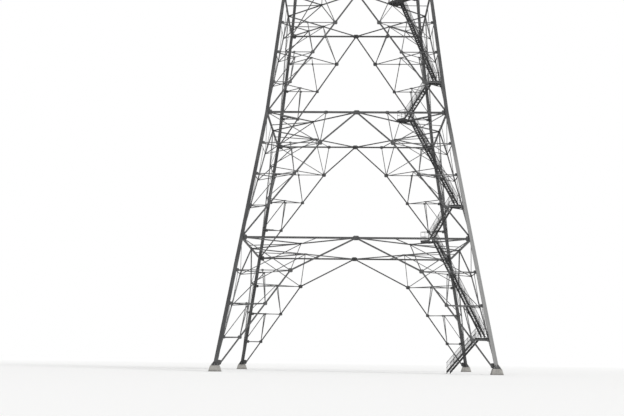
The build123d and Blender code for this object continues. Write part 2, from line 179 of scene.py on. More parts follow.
class MastTopSizes(bpy.types.PropertyGroup):
    ladder: size("Ladder width", "Distance between the ladder's stiles", 0.050)
    stile: size("Stile", "Depth of a stile", 0.006)
    stand_off: size("Stand-off", "Distance from a leg's middle to the ladder", 0.090)
    joint: size("Ladder joint", "Gap between two sections of the ladder", 0.002)
    rung: size("Rung", "Radius of a rung", 0.0018)
    rung_rise: size("Rung rise", "Distance from rung to rung", 0.030)
    hoop: size("Hoop", "Radius of a hoop of the ladder's cage", 0.038)
    hoop_gap: size("Hoop gap", "Distance from hoop to hoop", 0.090)
    hoop_strip: size("Hoop strip", "Width of the strip that a hoop is bent from", 0.0032)
    strap: size("Strap", "Width of the straps that join the hoops", 0.0028)
    strap_plate: size("Strap thickness", "Thickness of the hoops and straps", 0.0009)
    strap_lap: size("Strap lap", "How far a strap passes the last hoops", 0.002)
    beam: size("Platform beam", "Width and depth of a platform beam", 0.014)
    hatch: size("Hatch", "Side of the hatch in the platform's deck", 0.110)
    kerb: size("Hatch kerb", "Height of the hatch's frame and of the deck's joists", 0.006)
    rail_height: size("Guard rail height", "Height of the guard rail", 0.100)
    rail: size("Guard rail", "Radius of the guard rail's tubes", 0.002)
    toe_board: size("Toe board", "Height of the board at the deck's edge", 0.012)
    thin_plate: size("Thin plate", "Thickness of that board and of the feet of the posts", 0.0012)


class MastPoleSizes(bpy.types.PropertyGroup):
    flange: size("Flange", "Radius of the lowest flange", 0.055)
    flange_plate: size("Flange thickness", "Thickness of the lowest flange", 0.008)
    edge: size("Edge", "Worn edge of the flange and of the collars", 0.001)
    collar: size("Collar", "Height of the collar under a joint", 0.014)
    groove: size("Groove", "Height of the groove under a collar", 0.0005)
    tip: size("Tip", "Rounding of the pole's top", 0.003)
    rib: size("Rib", "Height of the ribs on the flange", 0.045)
    rib_plate: size("Rib thickness", "Thickness of the ribs", 0.0024)
    bolt_margin: size("Bolt margin", "From a bolt's middle to the flange's edge", 0.009)
    bolt: size("Bolt", "Radius of a bolt", 0.0022)
    bolt_length: size("Bolt length", "Height of a bolt over the flange", 0.0085)
    nut: size("Nut", "Radius of a nut", 0.0042)
    nut_height: size("Nut height", "Height of a nut", 0.004)


class MastColours(bpy.types.PropertyGroup):
    legs: colour("Legs", "Paint of the legs", (0.046, 0.047, 0.049))
    # Painted sunlight: a paler colour that stands for the sun's light on the lower part of the front right
    # leg
    bleached: colour("Bleached leg", "Paint of the leg that the sun has bleached", (0.310, 0.311, 0.308))
    lattice: colour("Lattice", "Paint of the belts, braces and plates", (0.088, 0.089, 0.091))
    walkway: colour("Walkways", "Paint of the stair, ladder and platform", (0.036, 0.037, 0.039))
    faded: colour("Faded paint", "Patches where the weather has worn the paint", (0.140, 0.140, 0.137))
    rust: colour("Rust", "Bleeding rust", (0.070, 0.040, 0.026))
    zinc: colour("Zinc", "Galvanised steel", (0.300, 0.310, 0.315))
    concrete: colour("Concrete", "Weathered concrete", (0.420, 0.410, 0.385))
    floor: colour("Floor", "Studio floor round the mast", (0.900, 0.900, 0.895))
    backdrop: colour("Backdrop", "Studio floor far from the mast", (0.985, 0.985, 0.985))


class MastStageSizes(bpy.types.PropertyGroup):
    floor: size("Floor", "Side of the studio floor", 160.0)
    camera_place: FloatVectorProperty(name="Camera place", description="Where the camera stands", size=3,
                                      default=(-0.085, -12.135, 0.127), unit="LENGTH")
    pitch: rotation("Pitch", "How far the camera looks up", 7.98)
    yaw: rotation("Yaw", "How far the camera looks to the left", 1.92)
    roll: rotation("Roll", "How far the camera leans to the left", 0.71)
    lens: FloatProperty(name="Lens", description="Focal length on the film", default=62.4, unit="CAMERA")
    film: FloatProperty(name="Film", description="Width of the film", default=36.0, unit="CAMERA")
    nearest: size("Nearest", "Distance from the camera at which the view starts", 0.1)
    farthest: size("Farthest", "Distance from the camera at which the view ends", 300.0)
    sky: strength("Sky", "Strength of the light from all round", 0.62)
    sun: strength("Sun", "Strength of the sun", 1.9)
    sun_slant: rotation("Sun slant", "Angle between the sun's rays and straight down", 48)
    sun_side: rotation("Sun side", "How far the sun is turned about the upright, from the rear", 52)
    sun_size: rotation("Sun size", "Width of the sun in the sky, for soft shadows", 20)


PROPERTY_GROUPS = {
    "mast_steel": MastSteelSizes,
    "mast_feet": MastFootSizes,
    "mast_stair": MastStairSizes,
    "mast_top": MastTopSizes,
    "mast_pole": MastPoleSizes,
    "mast_colours": MastColours,
    "mast_stage": MastStageSizes,
}


# Templates: small closed shapes, made once and then copied into place.

def template(bm):
    """The points and faces of a bmesh, which is then freed."""
    bmesh.ops.recalc_face_normals(bm, faces=bm.faces)
    bm.verts.index_update()
    points = [vert.co.copy() for vert in bm.verts]
    faces = [[vert.index for vert in face.verts] for face in bm.faces]
    bm.free()
    return points, faces


def extruded(bm, faces, way):
    run = bmesh.ops.extrude_face_region(bm, geom=faces)
    moved = [item for item in run["geom"] if isinstance(item, bmesh.types.BMVert)]
    bmesh.ops.translate(bm, verts=moved, vec=way)


def section(*outlines):
    """A bar that runs one metre along X. Each outline is a ring of places in Y and Z."""
    bm = bmesh.new()
    for outline in outlines:
        end = bm.faces.new([bm.verts.new((0, y, z)) for y, z in outline])
        extruded(bm, [end], TO_RIGHT)
    return template(bm)


def double_channel(width, depth, gap, plate):
    """Two channels back to back, with a gap between them for the gussets."""
    edge, tip, back = width / 2, depth / 2, gap / 2
    front = [(-edge, back), (edge, back), (edge, tip), (edge - plate, tip), (edge - plate, back + plate),
             (plate - edge, back + plate), (plate - edge, tip), (-edge, tip)]
    return section(front, [(y, -z) for y, z in front])


def double_angle(width, depth, gap, plate):
    """Two angles back to back, like a T whose stem stands in the gap's plane."""
    edge, tip, back = width / 2, depth / 2, gap / 2
    right = [(back, -tip), (back + plate, -tip), (back + plate, tip - plate), (edge, tip - plate),
             (edge, tip), (back, tip)]
    return section(right, [(-y, z) for y, z in right])


def angle(width, depth, gap, plate):
    """One angle behind the gusset's plane, with its flat leg against the gusset."""
    edge, back = width / 2, -gap / 2
    return section([(-edge, back), (edge, back), (edge, back - plate), (plate - edge, back - plate),
                    (plate - edge, back - depth), (-edge, back - depth)])


def channel(depth, width, plate):
    """A channel with its web at the origin and its flanges towards +Z."""
    edge = depth / 2
    return section([(-edge, 0), (edge, 0), (edge, width), (edge - plate, width), (edge - plate, plate),
                    (plate - edge, plate), (plate - edge, width), (-edge, width)])


def i_beam(width, depth, plate):
    edge, top, web = width / 2, depth / 2, plate / 2
    right = [(edge, -top), (edge, plate - top), (web, plate - top), (web, top - plate),
             (edge, top - plate), (edge, top)]
    return section(right + [(-y, z) for y, z in reversed(right)])


def block():
    """A cube one metre wide, about the origin."""
    bm = bmesh.new()
    bmesh.ops.create_cube(bm, size=1.0)
    return template(bm)


def cone(segments, top, place):
    """A shape with a foot one metre in radius and a top of another radius, one metre from it."""
    bm = bmesh.new()
    bmesh.ops.create_cone(bm, cap_ends=True, segments=segments, radius1=1, radius2=top, depth=1, matrix=place)
    return template(bm)


def clipped_plate(clip):
    """A plate one metre square and one thick, about the origin, with its corners cut off."""
    bm = bmesh.new()
    bmesh.ops.create_grid(bm, x_segments=1, y_segments=1, size=0.5)
    bmesh.ops.bevel(bm, geom=bm.verts[:], offset=clip, affect="VERTICES", segments=1, profile=0.5,
                    material=-1)
    bmesh.ops.translate(bm, verts=bm.verts, vec=-UP / 2)
    extruded(bm, bm.faces[:], UP)
    return template(bm)


STANDING = Matrix.Translation(UP / 2)
LYING = Matrix.Translation(TO_RIGHT / 2) @ Matrix.Rotation(math.pi / 2, 4, "Y")
BLOCK = block()
ROUND = cone(10, 1, LYING)
HEX = cone(6, 0.92, STANDING)
DOME = cone(6, 0.55, STANDING)
GUSSET = clipped_plate(0.2)
RIB = section([(0, 0), (1, 0), (1, 0.15), (0.25, 1), (0, 1)])  # thick in X, outwards in Y, up in Z


# Places for the templates.

def axes(origin, x, y, z):
    """Sends a template's X, Y and Z to the given vectors."""
    matrix = Matrix((x, y, z)).transposed().to_4x4()
    matrix.translation = origin
    return matrix


def from_to(start, end, normal):
    """A template's X from start to end, its Z along the normal."""
    run = end - start
    out = (normal - run * (normal.dot(run) / run.length_squared)).normalized()
    return axes(start, run, out.cross(run).normalized(), out)


def slab(middle, x, y, z):
    """A box about its middle, with its sides as vectors."""
    return BLOCK, axes(middle, x, y, z)


def box_at(middle, width, depth, height):
    return slab(middle, TO_RIGHT * width, TO_REAR * depth, UP * height)


def flat_bar(start, end, side, out):
    """A bar between two points, with its width and its thickness as vectors."""
    return slab((start + end) / 2, end - start, side, out)


def tube(start, end, radius):
    """A round bar between two points."""
    run = end - start
    side = run.orthogonal().normalized() * radius
    return ROUND, axes(start, run, side, run.normalized().cross(side))


def head(shape, spot, side, out, radius, height):
    """The head of a bolt or rivet, or a nut, on a surface."""
    return shape, axes(spot, side * radius, out.cross(side) * radius, out * height)


def turned(copies, quarters):
    """The same copies, turned about the mast's axis."""
    quarter_turns = Matrix.Rotation(quarters * math.pi / 2, 4, "Z")
    return [(shape, quarter_turns @ matrix) for shape, matrix in copies]


def at_every_corner(copies):
    return [copy for quarters in range(len(CORNERS)) for copy in turned(copies, quarters)]


def pulled(start, end, at_start, at_end):
    """A line with a length taken off at each end."""
    way = (end - start).normalized()
    return start + way * at_start, end - way * at_end


def build(name, copies, slot, node=None, finish=None):
    """Joins copies of templates into one piece of the mast, with its slot's finish or another one."""
    points, faces = [], []
    for (shape_points, shape_faces), matrix in copies:
        first = len(points)
        points.extend(matrix @ point for point in shape_points)
        mirrored_copy = matrix.determinant() < 0
        for face in shape_faces:
            ring = [first + index for index in face]
            faces.append(ring[::-1] if mirrored_copy else ring)
    mesh = bpy.data.meshes.new(name)
    mesh.from_pydata(points, [], faces)
    mesh.shade_smooth()
    mesh.set_sharp_from_angle(angle=CREASE)
    finish = finish or SLOT_FINISHES[slot]
    mesh.materials.append(finish())
    piece = bpy.data.objects.new(name, mesh)
    bpy.context.scene.collection.objects.link(piece)
    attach(piece, "root")
    if node:
        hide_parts(node)


def repaint(node, finish):
    """Gives a piece of the frame a better finish."""
    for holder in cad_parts[node].material_slots:
        holder.material = finish()


# The mast's lines, as the frame has them.

def between(z, column):
    for low, high in zip(STATIONS, STATIONS[1:]):
        if z <= high[0]:
            break
    return low[column] + (high[column] - low[column]) * (z - low[0]) / (high[0] - low[0])


def half_width(z):
    """Distance from the axis to a leg's centre line at height z."""
    return between(z, 1)


def leg_width(z):
    return between(z, 2)


def belt_height(level):
    return level * BAY


def on_front(x, z):
    return Vector((x, -half_width(z), z))


def on_leg(z):
    """A point of the front right leg's centre line."""
    return on_front(half_width(z), z)


def mirrored(point):
    return Vector((-point.x, point.y, point.z))


def face_normal(bay):
    lean = math.atan2(half_width(belt_height(bay - 1)) - half_width(belt_height(bay)), BAY)
    return Vector((0, -math.cos(lean), math.sin(lean)))


def is_tall(bay):
    return bay <= TALL_BAYS


def strut_share(level):
    return STRUT_SHARES[min(level, TALL_BAYS) - 1]


def brace_points(bay):
    """Where the right-hand K brace of the front crosses each sub-level, from the bay's foot to the knee."""
    steps = TALL_STEPS if is_tall(bay) else UPPER_STEPS
    foot_z = belt_height(bay - 1)
    knee_z = belt_height(bay) - BAY / steps
    if bay <= len(BENT_KNEES):
        knee_x = BENT_KNEES[bay - 1] * half_width(knee_z)
    else:
        knee_x = half_width(foot_z) / steps
    foot, knee = on_leg(foot_z), on_front(knee_x, knee_z)
    return [foot.lerp(knee, step / (steps - 1)) for step in range(steps)]


def off_leg(start, end):
    """Where a line from a point on a leg's centre line comes out of the leg's inner side."""
    closing = abs(start.x) - abs(end.x) - half_width(start.z) + half_width(end.z)
    share = leg_width(start.z) / 2 / closing
    if start.z < LEG_FOOT:
        share = max(share, (LEG_FOOT - start.z) / (end.z - start.z))
    return start.lerp(end, share)


def beside_leg(z, distance):
    """A point of the front face, a distance inwards from the right leg's inner side."""
    return on_front(half_width(z) - leg_width(z) / 2 - distance, z)


def under_belt(end, start, belt):
    """The point of a line that ends on a belt where it passes under the belt's edge."""
    run = start - end
    return end + run * (belt / 2 / abs(run.z))


# Joints. The ends of bars, as shares of the width of the brace that they meet, from its middle.
SEAM = 0.2  # a length of a brace, at the knee
CLEAR = 0.7  # a strut, at a crossing
KNEE_CLEAR = 0.9  # a strut or hanger, at the knee
LAP = 0.3  # a strut, in the middle of another
FLAT_CLEAR = 0.7  # a bar inside the mast, as a share of the depth of the belt or brace that it meets
CORNER_CLEAR = 0.72  # the same at a leg's corner, as a share of the leg's width

# Width and height of a face's plates, as shares of the gusset's side.
PLATE_SHARES = {
    "knee": (1.1, 1.0),
    "apex": (1.5, 1.1),
    "belt_end": (0.95, 1.3),
    "crossing": (0.9, 0.8),
    "strut_end": (0.65, 0.75),
    "strut_middle": (0.55, 0.5),
    "hanger": (0.9, 0.8),
    "foot": (0.9, 1.1),
}
# From the leg's inner side to the middle of the plates beside it, as shares of the gusset's side too.
BESIDE_LEG = {"belt_end": 0.42, "strut_end": 0.28, "foot": 0.4}
FOOT_PLATE_RISE = 0.55  # of the middle of the lowest plate over the leg's foot

BOLT_ROWS = (-0.2, 0.2)  # from the middle of a belt or brace, as shares of its width
FIRST_BOLT = 0.8  # from the end of a bar, as a share of the pitch
BOLTS = {"belt": 4, "brace": 4, "strut": 2}  # in a row at the end of a bar


def bar_sizes(bay, steel):
    """Width and depth of the bars of a face."""
    tall = is_tall(bay)
    return {
        "belt": (steel.belt if tall else steel.upper_belt, steel.belt_depth),
        "brace": (steel.brace if tall else steel.upper_brace, steel.brace_depth),
        "strut": (steel.strut if tall else steel.upper_strut, steel.strut_depth),
    }


def gusset_side(bay, steel):
    return steel.gusset if is_tall(bay) else steel.upper_gusset


def face_bars(bay, belt, brace):
    """The bars of one bay of the front face, as kinds and their two ends."""
    level = belt_height(bay)
    apex, corner = on_front(0, level), on_leg(level)
    crossings = brace_points(bay)
    knee = crossings[-1]
    belt_end = off_leg(corner, apex)
    half = [("brace", *pulled(off_leg(crossings[0], knee), knee, 0, brace * SEAM)),
            ("brace", *pulled(knee, under_belt(apex, knee, belt), brace * SEAM, 0))]
    for below, crossing in zip(crossings, crossings[1:]):
        leg = on_leg(crossing.z)
        half.append(("strut", *pulled(crossing, off_leg(leg, crossing), brace * CLEAR, 0)))
        if below is not crossings[0]:
            half.append(("strut", *pulled(below, (crossing + leg) / 2, brace * CLEAR, brace * LAP)))
    if bay <= len(BENT_KNEES):
        half.append(("strut", *pulled(knee, off_leg(corner, knee), brace * KNEE_CLEAR, brace)))
    if bay > 1:
        hanger_top = apex.lerp(corner, strut_share(bay))
        half.append(("strut", *pulled(knee, under_belt(hanger_top, knee, belt), brace * KNEE_CLEAR, 0)))
    both = half + [(kind, mirrored(start), mirrored(end)) for kind, start, end in half]
    return both + [("belt", mirrored(belt_end), belt_end)]


def face_plates(bay, gusset):
    """The gusset plates of one bay of the front face, as kinds and middles."""
    level = belt_height(bay)
    apex, corner = on_front(0, level), on_leg(level)
    crossings = brace_points(bay)

    def by_leg(kind, z):
        return kind, beside_leg(z, BESIDE_LEG[kind] * gusset)

    half = [("knee", crossings[-1]), by_leg("belt_end", level)]
    half += [("crossing", crossing) for crossing in crossings[1:-1]]
    for below, crossing in zip(crossings, crossings[1:]):
        half.append(by_leg("strut_end", crossing.z))
        if below is not crossings[0]:
            half.append(("strut_middle", (crossing + on_leg(crossing.z)) / 2))
    if bay > 1:
        half.append(("hanger", apex.lerp(corner, strut_share(bay))))
    else:
        half.append(by_leg("foot", LEG_FOOT + FOOT_PLATE_RISE * gusset))
    return half + [(kind, mirrored(middle)) for kind, middle in half] + [("apex", apex)]


def bolts_along(start, end, normal, rows, count, reach, steel, both_ends=True):
    """Bolt heads at the ends of a bar, on both sides of it. Each row is a distance to one side."""
    way = (end - start).normalized()
    side = normal.cross(way).normalized()
    out = way.cross(side).normalized()
    copies = []
    for spot, inwards in [(start, way), (end, -way)] if both_ends else [(start, way)]:
        for index in range(count):
            for row in rows:
                middle = spot + inwards * steel.bolt_pitch * (index + FIRST_BOLT) + side * row
                for face in (out, -out):
                    copies.append(head(HEX, middle + face * reach, way, face, steel.bolt, steel.bolt_head))
    return copies


def face_steel(bay, steel):
    """Bars, plates and bolts of one bay of the front face."""
    sizes = bar_sizes(bay, steel)
    normal = face_normal(bay)
    gap, plate = steel.gusset_plate, steel.plate
    shapes = {kind: double_channel(*sizes[kind], gap, plate) for kind in ("belt", "brace")}
    strut, strut_depth = sizes["strut"]
    shapes["strut"] = angle(strut, strut_depth - gap, gap, plate)
    bolts_for = partial(bolts_along, normal=normal, reach=gap / 2 + plate, steel=steel)
    bars, bolts = [], []
    for index, (kind, start, end) in enumerate(face_bars(bay, sizes["belt"][0], sizes["brace"][0])):
        start, end = (point + normal * index * HAIR for point in (start, end))
        bars.append((shapes[kind], from_to(start, end, normal)))
        rows = (0,) if kind == "strut" else [share * sizes[kind][0] for share in BOLT_ROWS]
        bolts += bolts_for(start, end, rows=rows, count=BOLTS[kind])
        stitches = 0 if kind == "strut" else int((end - start).length / steel.stitch)
        for stitch in range(1, stitches):
            bolts += bolts_for(start.lerp(end, stitch / stitches), end, rows=(0,), count=1, both_ends=False)
    gusset = gusset_side(bay, steel)
    up_face = normal.cross(TO_RIGHT).normalized()
    plates = []
    for kind, middle in face_plates(bay, gusset):
        width, height = PLATE_SHARES[kind]
        place = axes(middle, TO_RIGHT * gusset * width, up_face * gusset * height, normal * gap)
        plates.append((GUSSET, place))
    return bars, plates, bolts


def flat_plate(middle, length, width, steel):
    """A level plate, set along the diagonal."""
    return GUSSET, axes(middle, DIAGONAL * length, ACROSS * width, UP * steel.gusset_plate / 2)


class MAST_OT_footings(bpy.types.Operator):
    """Concrete pedestals with worn edges and a bed of grout"""
    bl_idname = "mast.footings"
    bl_label = "Footings"

    def execute(self, context):
        feet = context.scene.mast_feet
        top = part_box("footings")[1].z
        points = [point for point in points_of("footings") if point.x > 0]
        middle, top_width = middle_and_width([point.x for point in points if point.z > top - SAME])
        foot_width = middle_and_width([point.x for point in points if point.z < SAME])[1]
        plate_width = 2 * (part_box("base_plates")[1].x - middle)
        grout_width = plate_width + 3 * feet.grout
        under_grout = top - feet.grout
        bm = bmesh.new()
        self.frustum(bm, middle, 0, under_grout, foot_width, top_width)
        upper = [edge for edge in bm.edges if max(vert.co.z for vert in edge.verts) > feet.grout]
        bmesh.ops.bevel(bm, geom=upper, offset=feet.chamfer, affect="EDGES", segments=3, profile=0.5,
                        material=-1)
        self.frustum(bm, middle, under_grout, top, grout_width, plate_width)
        copies = at_every_corner([(template(bm), Matrix.Identity(4))])
        build("footings_cast", copies, "concrete", "footings")
        return {"FINISHED"}

    def frustum(self, bm, middle, low, high, foot_width, top_width):
        """Adds a square block with sloping sides, under the front right leg."""
        place = Matrix.Translation((middle, -middle, (low + high) / 2)) @ Matrix.Rotation(math.pi / 4, 4, "Z")
        bmesh.ops.create_cone(bm, cap_ends=True, segments=4, radius1=foot_width / math.sqrt(2),
                              radius2=top_width / math.sqrt(2), depth=high - low, matrix=place)


# Shares of the leg's width, on a base shoe.
RIB_PLACES = (-0.32, 0.32)
RIB_START = 0.46  # just inside the leg's side
# Shares of the base plate's width, from its middle.
ANCHOR_PLACES = (-0.38, 0.0)
ANCHOR_ROW = 0.38
# Shares of an anchor bolt's radius.
NUT = 1.9
NUT_HEIGHT = 1.5
NUT_LIFTS = (0.0, 1.7)


class MAST_OT_base_shoes(bpy.types.Operator):
    """Ribs and anchor bolts on the base plates"""
    bl_idname = "mast.base_shoes"
    bl_label = "Base shoes"

    def execute(self, context):
        feet = context.scene.mast_feet
        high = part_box("base_plates")[1]
        middle = half_width(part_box("footings")[1].z)
        plate = 2 * (high.x - middle)
        leg = leg_width(LEG_FOOT)
        centre = Vector((middle, -middle, high.z))
        reach = plate / 2 - leg / 2 - feet.rib_margin
        along_leg = on_leg(high.z + feet.rib) - on_leg(high.z)
        ribs, anchors = [], []
        for out in FOUR_WAYS:
            side = UP.cross(out)
            for place in RIB_PLACES:
                origin = centre + out * leg * RIB_START + side * (place * leg - feet.rib_plate / 2)
                ribs.append((RIB, axes(origin, side * feet.rib_plate, out * reach, along_leg)))
            for place in ANCHOR_PLACES:
                spot = centre + (out * ANCHOR_ROW + side * place) * plate
                anchors.append(tube(spot, spot + UP * feet.anchor_length, feet.anchor))
                for lift in NUT_LIFTS:
                    anchors.append(head(HEX, spot + UP * feet.anchor * lift, out, UP, feet.anchor * NUT,
                                        feet.anchor * NUT_HEIGHT))
        build("base_shoe_ribs", at_every_corner(ribs), "leg_steel")
        build("anchor_bolts", at_every_corner(anchors), "pole_steel")
        repaint("base_plates", leg_paint)
        return {"FINISHED"}


# Shares of the leg's width.
FLANGE = 0.3  # of the angles along its edges
SPLICE_LENGTH = 3.2
SPLICE_WIDTH = 0.9
SPLICE_ROWS = (-0.32, 0.32)
SPLICE_PLACES = (0.32, 0.82)  # in each bay, as shares of its height
SPLICE_RIVETS = 9  # in a row
SPLICE_END = 0.7  # from the end of a splice to its first rivet, as a share of the pitch
PROUD = 0.7  # how far the angles stand out from the leg, as a share of their thickness


class MAST_OT_legs(bpy.types.Operator):
    """Corner angles, splice plates and rivets on the box-shaped legs"""
    bl_idname = "mast.legs"
    bl_label = "Legs"

    def execute(self, context):
        steel = context.scene.mast_steel
        angles, rivets = self.corner_angles(steel)
        splices, splice_rivets = self.splices(steel)
        for quarters, corner in enumerate(CORNERS):
            # The front right leg gets painted sunlight: a paler paint low down that stands for the sun's
            # light on it
            paint = bleached_leg_paint if corner == PAINTED_SUNLIGHT_LEG else leg_paint
            for kind, copies in (("angles", angles + splices), ("rivets", rivets + splice_rivets)):
                build(f"leg_{corner}_{kind}", turned(copies, quarters), "leg_steel", finish=paint)
            repaint(f"leg_{corner}", paint)
        return {"FINISHED"}

    def corner_angles(self, steel):
        """Angles along the four edges of the front right leg, with a row of rivets in each flange."""
        proud, sunk = steel.plate * PROUD, steel.plate
        angles, rivets = [], []
        heights = [station[0] for station in STATIONS]
        for low, high in zip(heights, heights[1:]):
            flange = leg_width((low + high) / 2) * FLANGE
            shape = section([(-flange, -sunk), (-flange, proud), (proud, proud), (proud, -flange),
                             (-sunk, -flange), (-sunk, -sunk)])
            count = int((high - low) / steel.rivet_pitch)
            for x_way in (-TO_RIGHT, TO_RIGHT):
                for y_way in (-TO_REAR, TO_REAR):
                    start, end = (on_leg(z) + (x_way + y_way) * leg_width(z) / 2 for z in (low, high))
                    angles.append((shape, axes(start, end - start, x_way, y_way)))
                    for index in range(count):
                        spot = start.lerp(end, (index + 0.5) / count)
                        for out, side in ((x_way, y_way), (y_way, x_way)):
                            middle = spot + out * proud - side * flange / 2
                            rivets.append(head(DOME, middle, side, out, steel.rivet, steel.rivet_head))
        return angles, rivets

    def splices(self, steel):
        """Cover plates where two lengths of leg meet, two in each bay."""
        plates, rivets = [], []
        pitches = SPLICE_RIVETS - 1 + 2 * SPLICE_END
        for z in [belt_height(bay + share) for bay in range(BAYS) for share in SPLICE_PLACES]:
            width, half_length = leg_width(z), leg_width(z) * SPLICE_LENGTH / 2
            for out in FOUR_WAYS:
                side = UP.cross(out)
                start, end = (on_leg(height) + out * (leg_width(height) / 2 + steel.plate * PROUD)
                              for height in (z - half_length, z + half_length))
                plates.append(flat_bar(start, end, side * width * SPLICE_WIDTH, out * steel.plate))
                for row in SPLICE_ROWS:
                    for index in range(SPLICE_RIVETS):
                        spot = start.lerp(end, (index + SPLICE_END) / pitches)
                        spot += side * row * width + out * steel.plate / 2
                        rivets.append(head(DOME, spot, side, out, steel.rivet, steel.rivet_head))
        return plates, rivets


class MAST_OT_face_bracing(bpy.types.Operator):
    """Belts, K braces, struts and hangers of the four faces, with gusset plates and bolts"""
    bl_idname = "mast.face_bracing"
    bl_label = "Face bracing"

    def execute(self, context):
        groups = {f"bay_{bay}": (bay,) for bay in range(1, TALL_BAYS + 1)}
        for first, last in UPPER_GROUPS:
            groups[f"bays_{first}_to_{last}"] = range(first, last + 1)
        all_plates, all_bolts = [], []
        for label, bays in groups.items():
            group_bars = []
            for bay in bays:
                bars, plates, bolts = face_steel(bay, context.scene.mast_steel)
                group_bars += bars
                all_plates += plates
                all_bolts += bolts
            for quarters, side in enumerate(SIDES):
                node = f"{side}_bracing_{label}"
                build(f"{node}_sections", turned(group_bars, quarters), "lattice_steel", node)
        for quarters, side in enumerate(SIDES):
            build(f"{side}_gussets", turned(all_plates, quarters), "lattice_steel")
            build(f"{side}_bolts", turned(all_bolts, quarters), "lattice_steel")
        return {"FINISHED"}


CORNER_PLATE = (0.7, 0.9)  # length and width, as shares of the gusset's side
CORNER_BOLTS = 2


class MAST_OT_corner_bracing(bpy.types.Operator):
    """Bars across the four corners, with their ties and small plates"""
    bl_idname = "mast.corner_bracing"
    bl_label = "Corner bracing"

    def execute(self, context):
        steel = context.scene.mast_steel
        shape = angle(steel.corner_bar, steel.corner_bar, 0, steel.plate)
        length, width = (steel.gusset * share for share in CORNER_PLATE)
        plates, bolts = [], []
        for bay in range(1, TALL_BAYS + 1):
            bars = []
            for start, end in self.lines(bay, steel):
                bars.append((shape, from_to(start, end, UP)))
                bolts += bolts_along(start, end, UP, (0,), CORNER_BOLTS, steel.plate, steel)
            plates += [flat_plate((front + right) / 2, length, width, steel)
                       for front, right in self.crossings(bay)]
            node = f"corner_bracing_bay_{bay}"
            build(f"{node}_angles", at_every_corner(bars), "lattice_steel", node)
        build("corner_plates", at_every_corner(plates), "lattice_steel")
        build("corner_bolts", at_every_corner(bolts), "lattice_steel")
        return {"FINISHED"}

    def crossings(self, bay):
        """The ends of each bar across the front right corner, from the top down."""
        fronts = brace_points(bay)[:0:-1]
        return [(front, Vector((-front.y, -front.x, front.z))) for front in fronts]

    def lines(self, bay, steel):
        """The bars by the front right leg, clear of the braces and the leg."""
        level = belt_height(bay)
        half = half_width(level) / 2
        ties_from = Vector((half, -half, level))
        clear = steel.brace_depth * FLAT_CLEAR
        for front, right in self.crossings(bay):
            middle = (front + right) / 2
            yield pulled(front, right, clear, clear)
            yield pulled(middle, on_leg(front.z), clear, leg_width(front.z) * CORNER_CLEAR)
            yield pulled(ties_from, front, clear, clear)
            yield pulled(ties_from, right, clear, clear)
            ties_from = middle


# Plates on a diamond's sides and corners: their sides, and how far the second kind lies inside the belt.
SIDE_PLATE = 1.1
BELT_PLATE = 0.9
BELT_PLATE_INSET = 0.45
PLAN_BOLTS = 3


class MAST_OT_plan_bracing(bpy.types.Operator):
    """The flat diamonds inside the belts, with their corner ties and struts"""
    bl_idname = "mast.plan_bracing"
    bl_label = "Plan bracing"

    def execute(self, context):
        steel = context.scene.mast_steel
        upper, plates, bolts = [], [], []
        for level in range(1, BAYS + 1):
            bars, level_plates, level_bolts = self.level_steel(level, steel)
            plates += level_plates
            bolts += level_bolts
            if is_tall(level):
                node = f"plan_bracing_belt_{level}"
                build(f"{node}_angles", at_every_corner(bars), "lattice_steel", node)
            else:
                upper += bars
        node = "plan_bracing_upper_belts"
        build(f"{node}_angles", at_every_corner(upper), "lattice_steel", node)
        build("plan_plates", at_every_corner(plates), "lattice_steel")
        build("plan_bolts", at_every_corner(bolts), "lattice_steel")
        return {"FINISHED"}

    def level_steel(self, level, steel):
        """Bars, plates and bolts of a quarter of the diamond inside one belt."""
        z = belt_height(level)
        reach, half_bar = half_width(z), steel.plan_bar / 2
        middle = Vector((reach / 2, -reach / 2, z))
        clear = steel.belt_depth * FLAT_CLEAR
        diamond = double_angle(steel.plan_bar, steel.plan_bar, steel.gusset_plate, steel.plate)
        lines = [(diamond, pulled(Vector((reach, 0, z)), on_front(0, z), clear, clear)),
                 (diamond, pulled(middle, on_leg(z), half_bar, leg_width(z) * CORNER_CLEAR))]
        if is_tall(level):
            strut = angle(steel.corner_bar, steel.corner_bar, 0, steel.plate)
            near = strut_share(level) * reach
            for end in (Vector((near, -reach, z)), Vector((reach, -near, z))):
                lines.append((strut, pulled(middle, end, half_bar, clear)))
        bars, bolts = [], []
        for shape, (start, end) in lines:
            bars.append((shape, from_to(start, end, UP)))
            height = half_bar if shape is diamond else steel.plate
            bolts += bolts_along(start, end, UP, (0,), PLAN_BOLTS, height, steel)
        side = gusset_side(level, steel)
        plates = []
        for spot, share in ((middle, SIDE_PLATE),
                            (Vector((0, side * BELT_PLATE_INSET - reach, z)), BELT_PLATE)):
            plates.append(flat_plate(spot + UP * half_bar, side * share, side * share, steel))
        return bars, plates, bolts


# The stair, laid out along the diagonal. A place on it is its distance out, its side and its height.

PLAN_BAR_RISE = 0.006  # half the depth of the bar under a belt's landing
CORNER_BAR_RISE = 0.004  # half the depth of the bar under a corner landing

# Radii, as shares of the top rail's.
MIDDLE_RAIL = 0.75
RAIL_POST = 0.85
POST_INSET = 0.02  # from a rail's end to its first post, as a share of the rail's length


def on_diagonal(out, side, z):
    return DIAGONAL * out + ACROSS * side + UP * z


def corner_landing_height(bay, stair):
    return belt_height(bay - 1) + BAY / TALL_STEPS + CORNER_BAR_RISE + stair.landing_plate


def corner_landing_edge(bay, stair):
    crossing = brace_points(bay)[1]
    return (crossing.x - crossing.y) / math.sqrt(2) - stair.lap


def belt_landing_height(level, stair):
    return belt_height(level) + PLAN_BAR_RISE + stair.landing_plate


def belt_landing_edge(level, stair):
    return LANDING_SHARES[level - 1] * half_width(belt_height(level)) * math.sqrt(2) + stair.landing / 2


